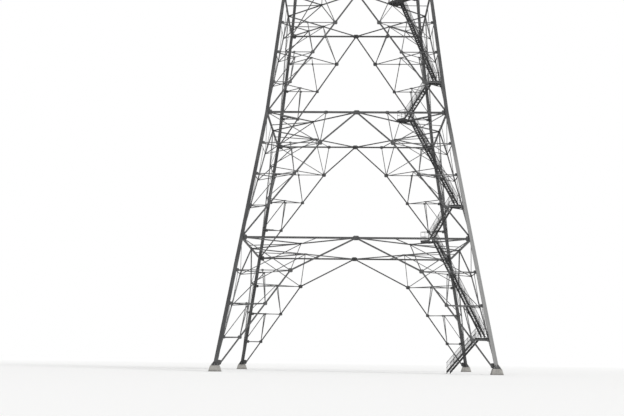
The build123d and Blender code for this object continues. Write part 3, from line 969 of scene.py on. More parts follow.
def handrail(stair, start, end, last_post=True):
    """Posts with a top rail and a middle rail, over a line."""
    top = UP * stair.rail_height
    copies = [tube(start + top, end + top, stair.rail),
              tube(start + top / 2, end + top / 2, stair.rail * MIDDLE_RAIL)]
    gaps = max(1, math.ceil((end - start).length / stair.post_gap))
    for index in range(gaps + last_post):
        foot = start.lerp(end, POST_INSET + (1 - 2 * POST_INSET) * index / gaps)
        copies.append(tube(foot, foot + top, stair.rail * RAIL_POST))
    return copies


TREAD_BARS = 5
TREAD_TIES = 4  # small bars that join them
TIE_SPREAD = 0.6  # of the ties, as a share of the tread's width
# Shares of the steel's thickness.
TREAD_BAR_PLATE = 0.9
TIE_PLATE = 0.6
# Shares of the tread's thickness.
TIE_DEPTH = 0.5
TIE_LIFT = 0.2
END_PLATE_DEPTH = 2
# The plate under a stringer that stands on the ground or a landing, as shares of the stringer's depth.
SHOE_SHIFT = 0.3
SHOE_LENGTH = 1.3


class MAST_OT_flights(bpy.types.Operator):
    """Stair flights with open grating treads between channel stringers, and handrails"""
    bl_idname = "mast.flights"
    bl_label = "Stair flights"

    def execute(self, context):
        stair = context.scene.mast_stair
        plate = context.scene.mast_steel.plate
        side = (stair.flight + stair.gap) / 2
        tread = self.tread(stair, plate)
        rails = []
        for bay in range(1, TALL_BAYS + 1):
            edge, corner_z = corner_landing_edge(bay, stair), corner_landing_height(bay, stair)
            top = belt_landing_edge(bay, stair), belt_landing_height(bay, stair)
            if bay == 1:
                foot = edge - stair.ground_run, 0.0
            else:
                foot = belt_landing_edge(bay - 1, stair), belt_landing_height(bay - 1, stair)
            long_foot = edge + stair.set_back, corner_z
            for kind, lane, low, high, stands in (("long", side, long_foot, top, True),
                                                  ("short", -side, foot, (edge, corner_z), bay == 1)):
                copies, flight_rails = self.flight(stair, plate, tread, lane, low, high, stands)
                rails += flight_rails
                node = f"stair_{kind}_flight_bay_{bay}"
                build(f"{node}_steps", copies, "walkway_steel", node)
        build("stair_handrails", rails, "walkway_steel")
        return {"FINISHED"}

    def tread(self, stair, plate):
        """A grating tread, its bars along Y, with ties and end plates."""
        bm = bmesh.new()
        width = stair.flight - 2 * stair.stringer_width
        thick = stair.tread_plate

        def bar(x, y, z, *spans):
            bmesh.ops.create_cube(bm, size=1.0, matrix=box_at(Vector((x, y, z)), *spans)[1])

        for index in range(TREAD_BARS):
            x = (index / (TREAD_BARS - 1) - 0.5) * (stair.tread - plate)
            bar(x, 0, 0, plate * TREAD_BAR_PLATE, width, thick)
        for index in range(TREAD_TIES):
            y = (index / (TREAD_TIES - 1) - 0.5) * width * TIE_SPREAD
            bar(0, y, thick * TIE_LIFT, stair.tread - plate, plate * TIE_PLATE, thick * TIE_DEPTH)
        for side in (-1, 1):
            bar(0, side * (width - plate) / 2, -thick / 2, stair.tread, plate, thick * END_PLATE_DEPTH)
        return template(bm)

    def flight(self, stair, plate, tread, lane, low, high, stands):
        """One flight and its rails. One that stands has its stringers cut level on what carries it."""
        rise, run = high[1] - low[1], high[0] - low[0]
        foot, head_end = (on_diagonal(out, lane, z) for out, z in (low, high))
        upright = UP / abs(Vector((run, rise)).normalized().x)  # what a stringer's depth is, measured upright
        start = foot.lerp(head_end, stair.stringer * upright.z / 2 / rise) if stands else foot
        stringer = channel(stair.stringer, stair.stringer_width, plate)
        inner = stair.flight / 2 - stair.stringer_width
        copies, rails = [], []
        for side in (-ACROSS, ACROSS):
            offset, edge = side * inner, side * (inner + stair.stringer_width / 2)
            copies.append((stringer, axes(start + offset, head_end - start, upright, side)))
            if stands:
                toe = foot + edge + UP * plate / 2
                toe += DIAGONAL * math.copysign(stair.stringer * SHOE_SHIFT, run)
                copies.append(slab(toe, DIAGONAL * stair.stringer * SHOE_LENGTH,
                                   ACROSS * stair.stringer_width * 2, UP * plate))
            rails += handrail(stair, start + edge, head_end + edge)
            rails += self.balusters(stair, start + edge, head_end + edge)
        count = int(rise // stair.rise)
        for step in range(1, count):
            copies.append((tread, axes(foot.lerp(head_end, step / count), DIAGONAL, ACROSS, UP)))
        return copies, rails

    def balusters(self, stair, start, end):
        """Thin upright bars between a stringer and its top rail."""
        count = round((end - start).length / stair.baluster_gap)
        feet = [start.lerp(end, (index + 0.5) / count) for index in range(count)]
        return [tube(foot, foot + UP * stair.rail_height, stair.baluster) for foot in feet]


FACING = 0.9  # least cosine between two directions that count as one
RAIL_INSET = 1.4  # from a landing's edge to its rail, as a share of the rail's radius
JOIST_LENGTH = 0.8  # as a share of the landing's length


class MAST_OT_landings(bpy.types.Operator):
    """Edge strips, toe boards and handrails round the stair landings, and joists under them"""
    bl_idname = "mast.landings"
    bl_label = "Stair landings"

    def execute(self, context):
        stair = context.scene.mast_stair
        plate = context.scene.mast_steel.plate
        trim, rails = [], []
        under = -UP * (stair.landing_plate + stair.edge_channel / 2)
        for ring, to_flights in self.outlines():
            railed = []
            for start, end in zip(ring, ring[1:] + ring[:1]):
                out = (end - start).normalized().cross(UP)
                trim.append(self.strip(start, end, out, under, stair.edge_channel, plate))
                if out.dot(to_flights) <= FACING and (end - start).length > stair.shortest_rail:
                    railed.append((start, end, out))
            for start, end, out in railed:
                trim.append(self.strip(start, end, out, UP * stair.toe_board / 2, stair.toe_board, plate))
                inwards = -out * stair.rail * RAIL_INSET
                goes_on = any((following - end).length < HAIR for following, _, _ in railed)
                rails += handrail(stair, start + inwards, end + inwards, not goes_on)
            trim += self.joists(ring, stair, plate)
        build("stair_landing_trim", trim, "walkway_steel")
        build("stair_landing_rails", rails, "walkway_steel")
        repaint("stair_landings", landing_plate)
        return {"FINISHED"}

    def outlines(self):
        """The top outline of each landing, and the direction from it to its flights."""
        bm = bmesh.new()
        bm.from_mesh(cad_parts["stair_landings"].data)
        bmesh.ops.remove_doubles(bm, verts=bm.verts, dist=WELD)
        bmesh.ops.dissolve_limit(bm, angle_limit=math.radians(1), verts=bm.verts, edges=bm.edges)
        rings = []
        for face in bm.faces:
            if face.normal.dot(UP) > FACING:
                ring = [vert.co.copy() for vert in face.verts]
                is_by_leg = round(ring[0].z / BAY * TALL_STEPS) % TALL_STEPS == 1
                rings.append((ring, -DIAGONAL if is_by_leg else DIAGONAL))
        bm.free()
        return rings

    def strip(self, start, end, out, lift, height, plate):
        """An upright strip along an edge."""
        middle = (start + end) / 2 + lift - out * plate / 2
        start, end = pulled(start, end, HAIR, HAIR)
        return slab(middle, end - start, out * plate, UP * height)

    def joists(self, ring, stair, plate):
        """Two joists under a deck, along the diagonal."""
        inner = min(point.dot(DIAGONAL) for point in ring)
        z = ring[0].z - stair.landing_plate - stair.edge_channel / 2
        copies = []
        for side in (-stair.flight / 2, stair.flight / 2):
            start, end = (on_diagonal(inner + out, side, z) for out in (plate, stair.landing * JOIST_LENGTH))
            copies.append(flat_bar(start, end, ACROSS * plate, UP * (stair.edge_channel - HAIR)))
        return copies


# Shares of a stile's depth.
STILE_WIDTH = 0.45
STILE_END = 0.1  # what is left free between two lengths of stile
RUNG_END = 0.35  # how far a rung passes into a stile
# The cage.
STRAP_PLACES = (-115, -62, -24, 24, 62, 115)  # in degrees round a hoop, from the point opposite the ladder
HOOP_STEPS = 14
LOWEST_HOOP = 2.4  # over the landing, in gaps between hoops
FIRST_HOOP = 0.5  # over a belt, the same


class MAST_OT_ladder(bpy.types.Operator):
    """The ladder by the leg, with round rungs and a cage of hoops and straps"""
    bl_idname = "mast.ladder"
    bl_label = "Ladder"

    def execute(self, context):
        top = context.scene.mast_top
        foot = belt_landing_height(TALL_BAYS, context.scene.mast_stair)
        belts = [belt_height(level) for level in range(TALL_BAYS + 1, BAYS)]
        heights = [foot] + belts + [LEG_TOP]
        hoop = self.hoop(top)
        ladder, cage = [], []
        for low, high in zip(heights, heights[1:]):
            ladder += self.section(top, low, high - top.joint, low > foot)
            cage += self.cage(top, hoop, low, high - top.joint, low > foot)
        build("ladder_rungs_and_stiles", ladder, "walkway_steel", "ladder")
        build("ladder_cage", cage, "walkway_steel")
        return {"FINISHED"}

    def place(self, top, z, side=0.0):
        return on_diagonal(half_width(z) * math.sqrt(2) - top.stand_off, side, z)

    def section(self, top, low, high, on_tie):
        """One length of the ladder. One that starts on a tie has a rung just over it."""
        copies = []
        free = UP * top.stile * STILE_END / 2
        for side in (-top.ladder / 2, top.ladder / 2):
            start, end = self.place(top, low, side) + free, self.place(top, high, side) - free
            copies.append(flat_bar(start, end, ACROSS * top.stile * STILE_WIDTH, DIAGONAL * top.stile))
        count = int((high - low) // top.rung_rise)
        rungs = [low + rung * (high - low) / count for rung in range(1, count)]
        if on_tie:
            rungs.append(low + PLAN_BAR_RISE + top.rung)
        reach = top.ladder / 2 + top.stile * RUNG_END
        return copies + [tube(self.place(top, z, -reach), self.place(top, z, reach), top.rung) for z in rungs]

    def opening(self, top):
        """Half the angle of a hoop's opening, which is as wide as the ladder."""
        return math.asin(top.ladder / 2 / top.hoop)

    def hoop(self, top):
        """A hoop that opens towards the ladder, which is at the origin and faces -X."""
        bm = bmesh.new()
        half, outer, inner = top.hoop_strip / 2, -top.hoop, top.strap_plate - top.hoop
        ring = [(outer, -half), (outer, half), (inner, half), (inner, -half)]
        strip = bm.faces.new([bm.verts.new((x, 0, z)) for x, z in ring])
        half_bend = math.pi - self.opening(top)
        bmesh.ops.rotate(bm, verts=bm.verts, cent=(0, 0, 0), matrix=Matrix.Rotation(-half_bend, 3, "Z"))
        bmesh.ops.spin(bm, geom=[strip], cent=(0, 0, 0), axis=UP, angle=2 * half_bend, steps=HOOP_STEPS,
                       dvec=(0, 0, 0), use_duplicate=False)
        bmesh.ops.translate(bm, verts=bm.verts, vec=-TO_RIGHT * top.hoop * math.cos(self.opening(top)))
        return template(bm)

    def cage(self, top, hoop, low, high, on_tie):
        """Hoops and straps round one length of the ladder."""
        clear = top.hoop_gap * (FIRST_HOOP if on_tie else LOWEST_HOOP)
        count = int((high - low - clear) / top.hoop_gap)
        heights = [low + clear + index * (high - low - clear) / count for index in range(count)]
        copies = [(hoop, axes(self.place(top, z), DIAGONAL, ACROSS, UP)) for z in heights]
        centre = -DIAGONAL * math.cos(self.opening(top))
        ends = heights[0] - top.strap_lap, heights[-1] + top.strap_lap
        for degrees in STRAP_PLACES:
            bearing = math.radians(degrees)
            out = ACROSS * math.sin(bearing) - DIAGONAL * math.cos(bearing)
            start, end = (self.place(top, z) + (centre + out) * top.hoop for z in ends)
            copies.append(flat_bar(start, end, UP.cross(out) * top.strap, out * top.strap_plate))
        return copies


# The platform.
WEB_END = 0.8  # thickness of the webs' ends, as a share of the steel's
WEB_MARGIN = 3  # what they leave free of a beam's depth, in the same share
POSTS = 7  # along one side of the guard rail
POST_FOOT = 0.010  # length of the plate under a post
POST_FOOT_OUT = 0.002  # how far it reaches outwards from the post's middle
POST_FOOT_IN = 0.006
PLATFORM_MIDDLE_RAIL = 0.8  # its radius, as a share of the top rail's
KERB_PLATE = 0.7  # width of the hatch's frame, as a share of its height
HATCH_POSTS = ((1, -1), (-1, -1), (-1, 1))  # the corners of the hatch that have a post, in X and Y
HATCH_POST = 0.9  # height of the posts and rails by the hatch, as shares of the guard rail's
HATCH_RAILS = (0.88, 0.45)
LID_GAP = 1.5  # from the hatch's frame to its lid, in kerb heights
LID_RIBS = (-0.6, 0, 0.6)
JOISTS = (-0.75, -0.5, -0.25, 0.25, 0.5, 0.75)  # places under the deck, as shares of its half width


class MAST_OT_platform(bpy.types.Operator):
    """The top platform: beams, deck with a hatch frame, and the guard rail"""
    bl_idname = "mast.platform"
    bl_label = "Platform"

    def execute(self, context):
        top, steel = context.scene.mast_top, context.scene.mast_steel
        build("platform_beams", self.beams(top, steel), "walkway_steel", "platform_frame")
        build("platform_rails", self.guard_rail(top), "walkway_steel", "platform_guard_rail")
        build("platform_trim", self.hatch(top, steel) + self.joists(top, steel), "walkway_steel")
        repaint("platform_deck", platform_plate)
        return {"FINISHED"}

    def beams(self, top, steel):
        """Five beams that run through, and between them shorter ones, whose webs reach the others' webs."""
        low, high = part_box("platform_frame")
        reach, z = high.x, (low.z + high.z) / 2
        flange = top.beam / 2
        shape = i_beam(top.beam, top.beam, steel.plate)
        legs = half_width(belt_height(BAYS))
        lines = (-reach + flange, -legs, 0, legs, reach - flange)
        copies = [(shape, from_to(Vector((x, -reach, z)), Vector((x, reach, z)), UP)) for x in lines]
        for y in lines:
            for left, right in zip(lines, lines[1:]):
                start, end = Vector((left, y, z)), Vector((right, y, z))
                copies.append((shape, from_to(*pulled(start, end, flange, flange), UP)))
                copies.append(box_at((start + end) / 2, right - left, steel.plate * WEB_END,
                                     top.beam - steel.plate * WEB_MARGIN))
        return copies

    def guard_rail(self, top):
        """Posts, rails and a toe board on each side of the deck."""
        low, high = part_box("platform_guard_rail")
        edge = high.x - top.rail
        reach = edge - top.rail * 2
        side = []
        for index in range(POSTS):
            foot = Vector(((index / (POSTS - 1) - 0.5) * 2 * (reach - top.rail), -edge, low.z))
            side.append(tube(foot, foot + UP * (top.rail_height - top.rail), top.rail))
            plate = foot + Vector((0, (POST_FOOT_IN - POST_FOOT_OUT) / 2, top.thin_plate / 2))
            side.append(box_at(plate, POST_FOOT, POST_FOOT_IN + POST_FOOT_OUT, top.thin_plate))
        for height, radius in ((top.rail_height - top.rail, top.rail),
                               (top.rail_height / 2, top.rail * PLATFORM_MIDDLE_RAIL)):
            start = Vector((-reach, -edge, low.z + height))
            side.append(tube(start, mirrored(start), radius))
        board = Vector((0, top.thin_plate / 2 - edge, low.z + top.toe_board / 2))
        side.append(box_at(board, 2 * reach, top.thin_plate, top.toe_board))
        return at_every_corner(side)

    def hatch_place(self, top):
        """Distance of the hatch's middle from the axis, in X and in -Y."""
        return half_width(LEG_TOP) - top.stand_off / math.sqrt(2)

    def hatch(self, top, steel):
        """A frame round the hatch, grab rails on two sides, and the lid with its ribs, folded back."""
        out, half, kerb = self.hatch_place(top), top.hatch / 2, top.kerb
        centre = Vector((out, -out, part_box("platform_deck")[1].z))
        wall = kerb * KERB_PLATE
        copies = []
        for face in FOUR_WAYS:
            length = 2 * half + (2 * wall if face.x else 0) - HAIR
            middle = centre + face * (half + wall / 2 - HAIR)
            copies.append(slab(middle, UP.cross(face) * length, face * wall, UP * kerb))
        posts = [centre + Vector((x, y, 0)) * (half + wall / 2) for x, y in HATCH_POSTS]
        copies += [tube(post, post + UP * top.rail_height * HATCH_POST, top.rail) for post in posts]
        for lift in [UP * top.rail_height * share for share in HATCH_RAILS]:
            copies += [tube(start + lift, end + lift, top.rail * PLATFORM_MIDDLE_RAIL)
                       for start, end in zip(posts, posts[1:])]
        lid = centre + Vector((2 * half + LID_GAP * kerb, 0, wall))
        copies.append(box_at(lid, 2 * half, 2 * half, steel.plate))
        for side in LID_RIBS:
            copies.append(box_at(lid + Vector((0, side * half, -wall / 2)), 2 * half, steel.plate, wall))
        return copies

    def joists(self, top, steel):
        """Joists under the deck, which stop at the hatch."""
        low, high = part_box("platform_deck")
        out, half = self.hatch_place(top), top.hatch / 2
        reach = high.x - top.beam
        copies = []
        for x in [share * high.x for share in JOISTS]:
            spans = [(-reach, reach)]
            if abs(x - out) < half + top.kerb:
                spans = [(-reach, -out - half), (-out + half, reach)]
            for start, end in spans:
                middle = Vector((x, (start + end) / 2, low.z - top.kerb / 2))
                copies.append(box_at(middle, steel.plate, end - start, top.kerb))
        return copies


# The pole.
POLE_LENGTHS = 3
POLE_STEPS = 40  # round the pole
POLE_RIBS = 8
COLLAR = 0.98  # radius of the collar under a joint, as a share of the pole's there
COLLAR_FLARE = 0.0001  # how much wider the collar gets towards its top
RIB_FOOT = 0.97  # where the ribs start, as a share of the pole's radius
RIB_LENGTH = 0.9  # as a share of the flange's width


class MAST_OT_pole(bpy.types.Operator):
    """The stepped antenna pole with collared joints, and ribs and bolts on its flange"""
    bl_idname = "mast.pole"
    bl_label = "Antenna pole"

    def execute(self, context):
        pole = context.scene.mast_pole
        radii, joints = self.stations(pole)
        turned_pole = [(self.turned_shape(pole, radii, joints), Matrix.Identity(4))]
        build("antenna_pole_turned", turned_pole, "pole_steel", "antenna_pole")
        build("antenna_pole_fittings", self.fittings(pole, radii[0], joints[0]), "pole_steel")
        return {"FINISHED"}

    def stations(self, pole):
        """Radii of the pole's lengths, from the frame, and the heights of its joints."""
        low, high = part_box("antenna_pole")
        foot = low.z + pole.flange_plate
        joints = [foot + index * (high.z - foot) / POLE_LENGTHS for index in range(POLE_LENGTHS + 1)]
        radii = [max(point.xy.length for point in points_of("antenna_pole") if abs(point.z - end) < SAME)
                 for end in joints[1:]]
        return radii, joints

    def turned_shape(self, pole, radii, joints):
        """Half of the pole's outline, spun about its axis."""
        flange, edge, foot = pole.flange, pole.edge, joints[0]
        low = foot - pole.flange_plate
        ring = [(0, low), (flange - edge, low), (flange, low + edge), (flange, foot - edge),
                (flange - edge, foot), (radii[0], foot)]
        for below, radius, joint in zip(radii, radii[1:], joints[1:]):
            collar = below * COLLAR
            ring += [(below, joint - pole.collar - pole.groove), (collar, joint - pole.collar),
                     (collar + COLLAR_FLARE, joint - edge), (collar - edge, joint), (radius, joint + edge)]
        ring += [(radii[-1], joints[-1] - pole.tip), (radii[-1] - pole.tip, joints[-1]), (0, joints[-1])]
        bm = bmesh.new()
        verts = [bm.verts.new((x, 0, z)) for x, z in ring]
        edges = [bm.edges.new(pair) for pair in zip(verts, verts[1:])]
        bmesh.ops.spin(bm, geom=verts + edges, cent=(0, 0, 0), axis=UP, angle=2 * math.pi, steps=POLE_STEPS,
                       dvec=(0, 0, 0), use_merge=True)
        bmesh.ops.remove_doubles(bm, verts=bm.verts, dist=WELD)
        return template(bm)

    def fittings(self, pole, radius, foot):
        """Ribs on the flange, and its bolts and nuts."""
        copies = []
        for index in range(POLE_RIBS):
            out, to_bolt = (Matrix.Rotation(2 * math.pi * place / POLE_RIBS, 3, "Z") @ TO_RIGHT
                            for place in (index, index + 0.5))
            side = UP.cross(out) * pole.rib_plate
            origin = out * radius * RIB_FOOT + UP * foot - side / 2
            copies.append((RIB, axes(origin, side, out * (pole.flange - radius) * RIB_LENGTH, UP * pole.rib)))
            spot = to_bolt * (pole.flange - pole.bolt_margin) + UP * foot
            copies.append(head(HEX, spot, TO_RIGHT, UP, pole.nut, pole.nut_height))
            copies.append(tube(spot, spot + UP * pole.bolt_length, pole.bolt))
        return copies


# Finishes. Their patterns lie on Object coordinates, which are the mast's own.

# Painted sunlight: the leg whose lower part is painted paler to stand for the sun's light on it
PAINTED_SUNLIGHT_LEG = "front_right"
PAINTED_SUNLIGHT_FADE = (2.35, 2.95)  # heights between which that leg's painted sunlight, a paler paint, gives way to the dark paint
DRY_HEIGHTS = (0.012, 0.03)  # heights between which the damp foot of the concrete dries
LOZENGE_PITCH = 0.0038  # from one raised mark of a chequer plate to the next
LOZENGE = (0.44, 0.15)  # half its length and width, as shares of the pitch
DECK_SHEET = (0.1045, 0.209)  # the sheets of the platform's deck, in X and Y
SHEET_GAP = (0.0003, 0.0008)  # from a gap's middle to where it is full and where it ends
FLOOR_FADE = (6.0, 30.0)  # distances from the mast between which the floor pales to the backdrop
# Depths of the reliefs.
GRAIN = 0.0005
BRUSH_MARKS = 0.0006
CRYSTALS = 0.0004
CONCRETE_GRAIN = 0.0008
# For the shader nodes.
WHITE = (1.0, 1.0, 1.0)
MIX_COLOURS = slice(6, 8)  # the inputs of a Mix node for colours
MIX_RESULT = 2  # its output for a colour


def give(tree, socket, value):
    """Links a socket to another, or gives it a value. A colour has three parts."""
    if isinstance(value, bpy.types.NodeSocket):
        tree.links.new(value, socket)
    else:
        socket.default_value = (*value, 1.0) if socket.type == "RGBA" else value


def fed(tree, node, inputs):
    """A shader node, with the values or links of its inputs."""
    for name, value in inputs.items():
        give(tree, node.inputs[name.replace("_", " ")], value)
    return node


def add(tree, kind, settings=None, **inputs):
    """A new shader node, with its settings and inputs."""
    made = tree.nodes.new("ShaderNode" + kind)
    for name, value in (settings or {}).items():
        setattr(made, name, value)
    return fed(tree, made, inputs)


def noise(tree, where, scale, detail=4.0, roughness=0.55):
    """Noise of one scale, or of a scale for each axis."""
    if isinstance(scale, tuple):
        where, scale = add(tree, "Mapping", Vector=where, Scale=scale).outputs[0], 1.0
    return add(tree, "TexNoise", Vector=where, Scale=scale, Detail=detail, Roughness=roughness).outputs[0]


def ramp(tree, value, low, high, start=0.0, end=1.0):
    """Runs from start to end while the value runs from low to high."""
    made = add(tree, "MapRange", Value=value, From_Min=low, From_Max=high, To_Min=start, To_Max=end)
    return made.outputs[0]


def patches(tree, where, scale, low, high, detail=4.0, roughness=0.55):
    """Noise cut to patches: none under the low value, full over the high one."""
    return ramp(tree, noise(tree, where, scale, detail, roughness), low, high)


def bump(tree, height, strength, depth, under=None):
    """A surface with a relief, over another one."""
    below = {} if under is None else {"Normal": under}
    return add(tree, "Bump", Height=height, Strength=strength, Distance=depth, **below).outputs[0]


def combined(tree, operation, *values, kind="Math"):
    """Values, or places, put together by a sum of the given kind."""
    made = add(tree, kind, {"operation": operation})
    for socket, value in zip(made.inputs, values):
        give(tree, socket, value)
    return made.outputs["Value" if operation == "LENGTH" else 0]


def product(tree, first, second):
    return combined(tree, "MULTIPLY", first, second)


def mixed(tree, share, first, second):
    """A colour between two colours."""
    made = add(tree, "Mix", {"data_type": "RGBA"}, Factor=share)
    for socket, value in zip(made.inputs[MIX_COLOURS], (first, second)):
        give(tree, socket, value)
    return made.outputs[MIX_RESULT]


def stained(tree, shade, stain, mask, share):
    """A colour with a share of another where the mask is full."""
    return mixed(tree, product(tree, mask, share), shade, stain)


def dark(shade, share):
    return [part * share for part in shade]


def ragged_height(tree, where, scale, depth, detail=4.0):
    """Height over the ground, made uneven."""
    height = add(tree, "SeparateXYZ", Vector=where).outputs["Z"]
    return combined(tree, "ADD", height, product(tree, noise(tree, where, scale, detail), depth))


def new_finish(name):
    material = bpy.data.materials.new(name)
    material.use_nodes = True
    tree = material.node_tree
    return material, tree, tree.nodes["Principled BSDF"], add(tree, "TexCoord").outputs["Object"]


def painted(name, colour_name, rust_share, relief=None):
    """Old paint on steel: faded patches, run-off streaks, small spots of rust and a hand-brushed surface.

    A relief adds the raised marks of a plate, where the paint is worn, and the dark gaps between sheets.
    """
    colours = bpy.context.scene.mast_colours
    paint = getattr(colours, colour_name)
    material, tree, shader, where = new_finish(name)
    faded = patches(tree, where, scale=6.0, low=0.42, high=0.68, detail=6.0, roughness=0.62)
    streaks = patches(tree, where, scale=(110.0, 110.0, 5.0), low=0.48, high=0.72, detail=3.0)
    spots = patches(tree, where, scale=130.0, low=0.58, high=0.70, detail=7.0, roughness=0.7)
    rusty_areas = patches(tree, where, scale=4.0, low=0.46, high=0.62, detail=3.0)
    shade = stained(tree, paint, colours.faded, faded, share=0.55)
    shade = stained(tree, shade, dark(paint, share=0.45), streaks, share=0.5)
    shade = stained(tree, shade, colours.rust, product(tree, spots, rusty_areas), rust_share)
    brush_marks = noise(tree, where, scale=(420.0, 420.0, 90.0), detail=5.0)
    surface = bump(tree, brush_marks, strength=0.35, depth=BRUSH_MARKS)
    surface = bump(tree, spots, strength=0.4, depth=GRAIN, under=surface)
    if relief:
        raised, gaps = relief(tree, where)
        shade = stained(tree, shade, colours.faded, raised, share=0.4)
        shade = mixed(tree, gaps, shade, dark(paint, share=0.2))
        height = combined(tree, "SUBTRACT", raised, gaps)
        surface = bump(tree, height, strength=0.9, depth=GRAIN, under=surface)
    roughness = ramp(tree, noise(tree, where, scale=40.0, detail=5.0), 0.3, 0.7, start=0.52, end=0.80)
    fed(tree, shader, {"Base Color": shade, "Roughness": roughness, "Normal": surface})
    return material


def lozenges(tree, where, turn):
    """The raised lozenges of a chequer plate, each at a right angle to the next, on faces that look up."""
    scale = (1 / LOZENGE_PITCH, 1 / LOZENGE_PITCH, 0)
    flat = add(tree, "Mapping", Vector=where, Rotation=(0, 0, turn), Scale=scale).outputs[0]
    places = partial(combined, tree, kind="VectorMath")
    spot = places("SUBTRACT", places("FRACTION", flat), (0.5, 0.5, 0))
    reaches = [places("LENGTH", places("DIVIDE", spot, (*half, 1))) for half in (LOZENGE, LOZENGE[::-1])]
    other = add(tree, "TexChecker", Vector=flat, Scale=1.0).outputs["Fac"]
    reach = add(tree, "Mix", {"data_type": "FLOAT"}, Factor=other, A=reaches[0], B=reaches[1]).outputs[0]
    upward = add(tree, "SeparateXYZ", Vector=add(tree, "NewGeometry").outputs["Normal"]).outputs["Z"]
    return product(tree, ramp(tree, reach, 0.75, 1.0, start=1.0, end=0.0), ramp(tree, upward, 0.5, 0.7))


def platform_relief(tree, where):
    """Lozenges, and the gaps between sheets, which lie over the joists."""
    parts = add(tree, "SeparateXYZ", Vector=where).outputs
    to_gaps = [combined(tree, "PINGPONG", parts[way], pitch / 2) for way, pitch in zip("XY", DECK_SHEET)]
    gaps = ramp(tree, combined(tree, "MINIMUM", *to_gaps), *SHEET_GAP, start=1.0, end=0.0)
    return lozenges(tree, where, math.pi / 4), gaps


def landing_relief(tree, where):
    return lozenges(tree, where, 0.0), 0.0


@cache
def leg_paint():
    return painted("leg_paint", "legs", rust_share=0.55)


@cache
def bleached_leg_paint():
    """The legs' paint with painted sunlight: a paler colour below the second belt stands for the sun's light
    on this leg.
    """
    material = painted("bleached_leg_paint", "legs", rust_share=0.4)
    tree = material.node_tree
    shader = tree.nodes["Principled BSDF"]
    aged = shader.inputs["Base Color"].links[0].from_socket
    height = ragged_height(tree, add(tree, "TexCoord").outputs["Object"], scale=3.0, depth=0.5)
    # Painted sunlight: the paler colour is mixed in below the second belt, fading out with height
    share = ramp(tree, height, *PAINTED_SUNLIGHT_FADE, start=0.85, end=0.0)
    fed(tree, shader, {"Base Color": mixed(tree, share, aged, bpy.context.scene.mast_colours.bleached)})
    return material


@cache
def lattice_paint():
    return painted("lattice_paint", "lattice", rust_share=0.6)


@cache
def walkway_paint():
    return painted("walkway_paint", "walkway", rust_share=0.7)


@cache
def landing_plate():
    return painted("landing_plate", "walkway", rust_share=0.8, relief=landing_relief)


@cache
def platform_plate():
    return painted("platform_plate", "walkway", rust_share=0.8, relief=platform_relief)


@cache
def galvanised_steel():
    """Dull zinc with its crystals, weathered to grey."""
    zinc = bpy.context.scene.mast_colours.zinc
    material, tree, shader, where = new_finish("galvanised_steel")
    crystals = add(tree, "TexVoronoi", Vector=where, Scale=210.0).outputs["Color"]
    grey = add(tree, "RGBToBW", Color=crystals).outputs[0]
    dull = patches(tree, where, scale=(40.0, 40.0, 6.0), low=0.4, high=0.7, detail=6.0)
    shade = mixed(tree, ramp(tree, grey, 0.2, 0.8), dark(zinc, share=0.8), zinc)
    shade = stained(tree, shade, dark(zinc, share=0.5), dull, share=0.7)
    roughness = ramp(tree, dull, 0.0, 1.0, start=0.42, end=0.68)
    surface = bump(tree, grey, strength=0.15, depth=CRYSTALS)
    fed(tree, shader, {"Base Color": shade, "Metallic": 0.55, "Roughness": roughness, "Normal": surface})
    return material


@cache
def cast_concrete():
    """Cast concrete with board marks, pits, run-off streaks and a damp, dirty foot."""
    base = bpy.context.scene.mast_colours.concrete
    material, tree, shader, where = new_finish("cast_concrete")
    mottle = patches(tree, where, scale=26.0, low=0.35, high=0.68, detail=8.0, roughness=0.65)
    streaks = patches(tree, where, scale=(150.0, 150.0, 12.0), low=0.52, high=0.74)
    height = ragged_height(tree, where, scale=45.0, depth=0.02, detail=5.0)
    damp = ramp(tree, height, *DRY_HEIGHTS, start=1.0, end=0.0)
    shade = mixed(tree, mottle, dark(base, share=0.62), base)
    shade = stained(tree, shade, dark(base, share=0.34), streaks, share=0.55)
    shade = stained(tree, shade, dark(base, share=0.3), damp, share=0.7)
    boards = add(tree, "TexWave", {"bands_direction": "Z", "wave_profile": "SAW"}, Vector=where, Scale=13.0,
                 Distortion=0.4, Detail=2.0).outputs["Fac"]
    pits = ramp(tree, add(tree, "TexVoronoi", Vector=where, Scale=170.0).outputs["Distance"], 0.0, 0.16)
    grain = noise(tree, where, scale=300.0, detail=6.0, roughness=0.7)
    surface = bump(tree, grain, strength=0.5, depth=CONCRETE_GRAIN)
    surface = bump(tree, pits, strength=0.35, depth=CONCRETE_GRAIN, under=surface)
    surface = bump(tree, boards, strength=0.3, depth=CONCRETE_GRAIN, under=surface)
    fed(tree, shader, {"Base Color": shade, "Roughness": 0.9, "Normal": surface})
    return material


SLOT_FINISHES = {
    "leg_steel": leg_paint,
    "lattice_steel": lattice_paint,
    "walkway_steel": walkway_paint,
    "pole_steel": galvanised_steel,
    "concrete": cast_concrete,
}


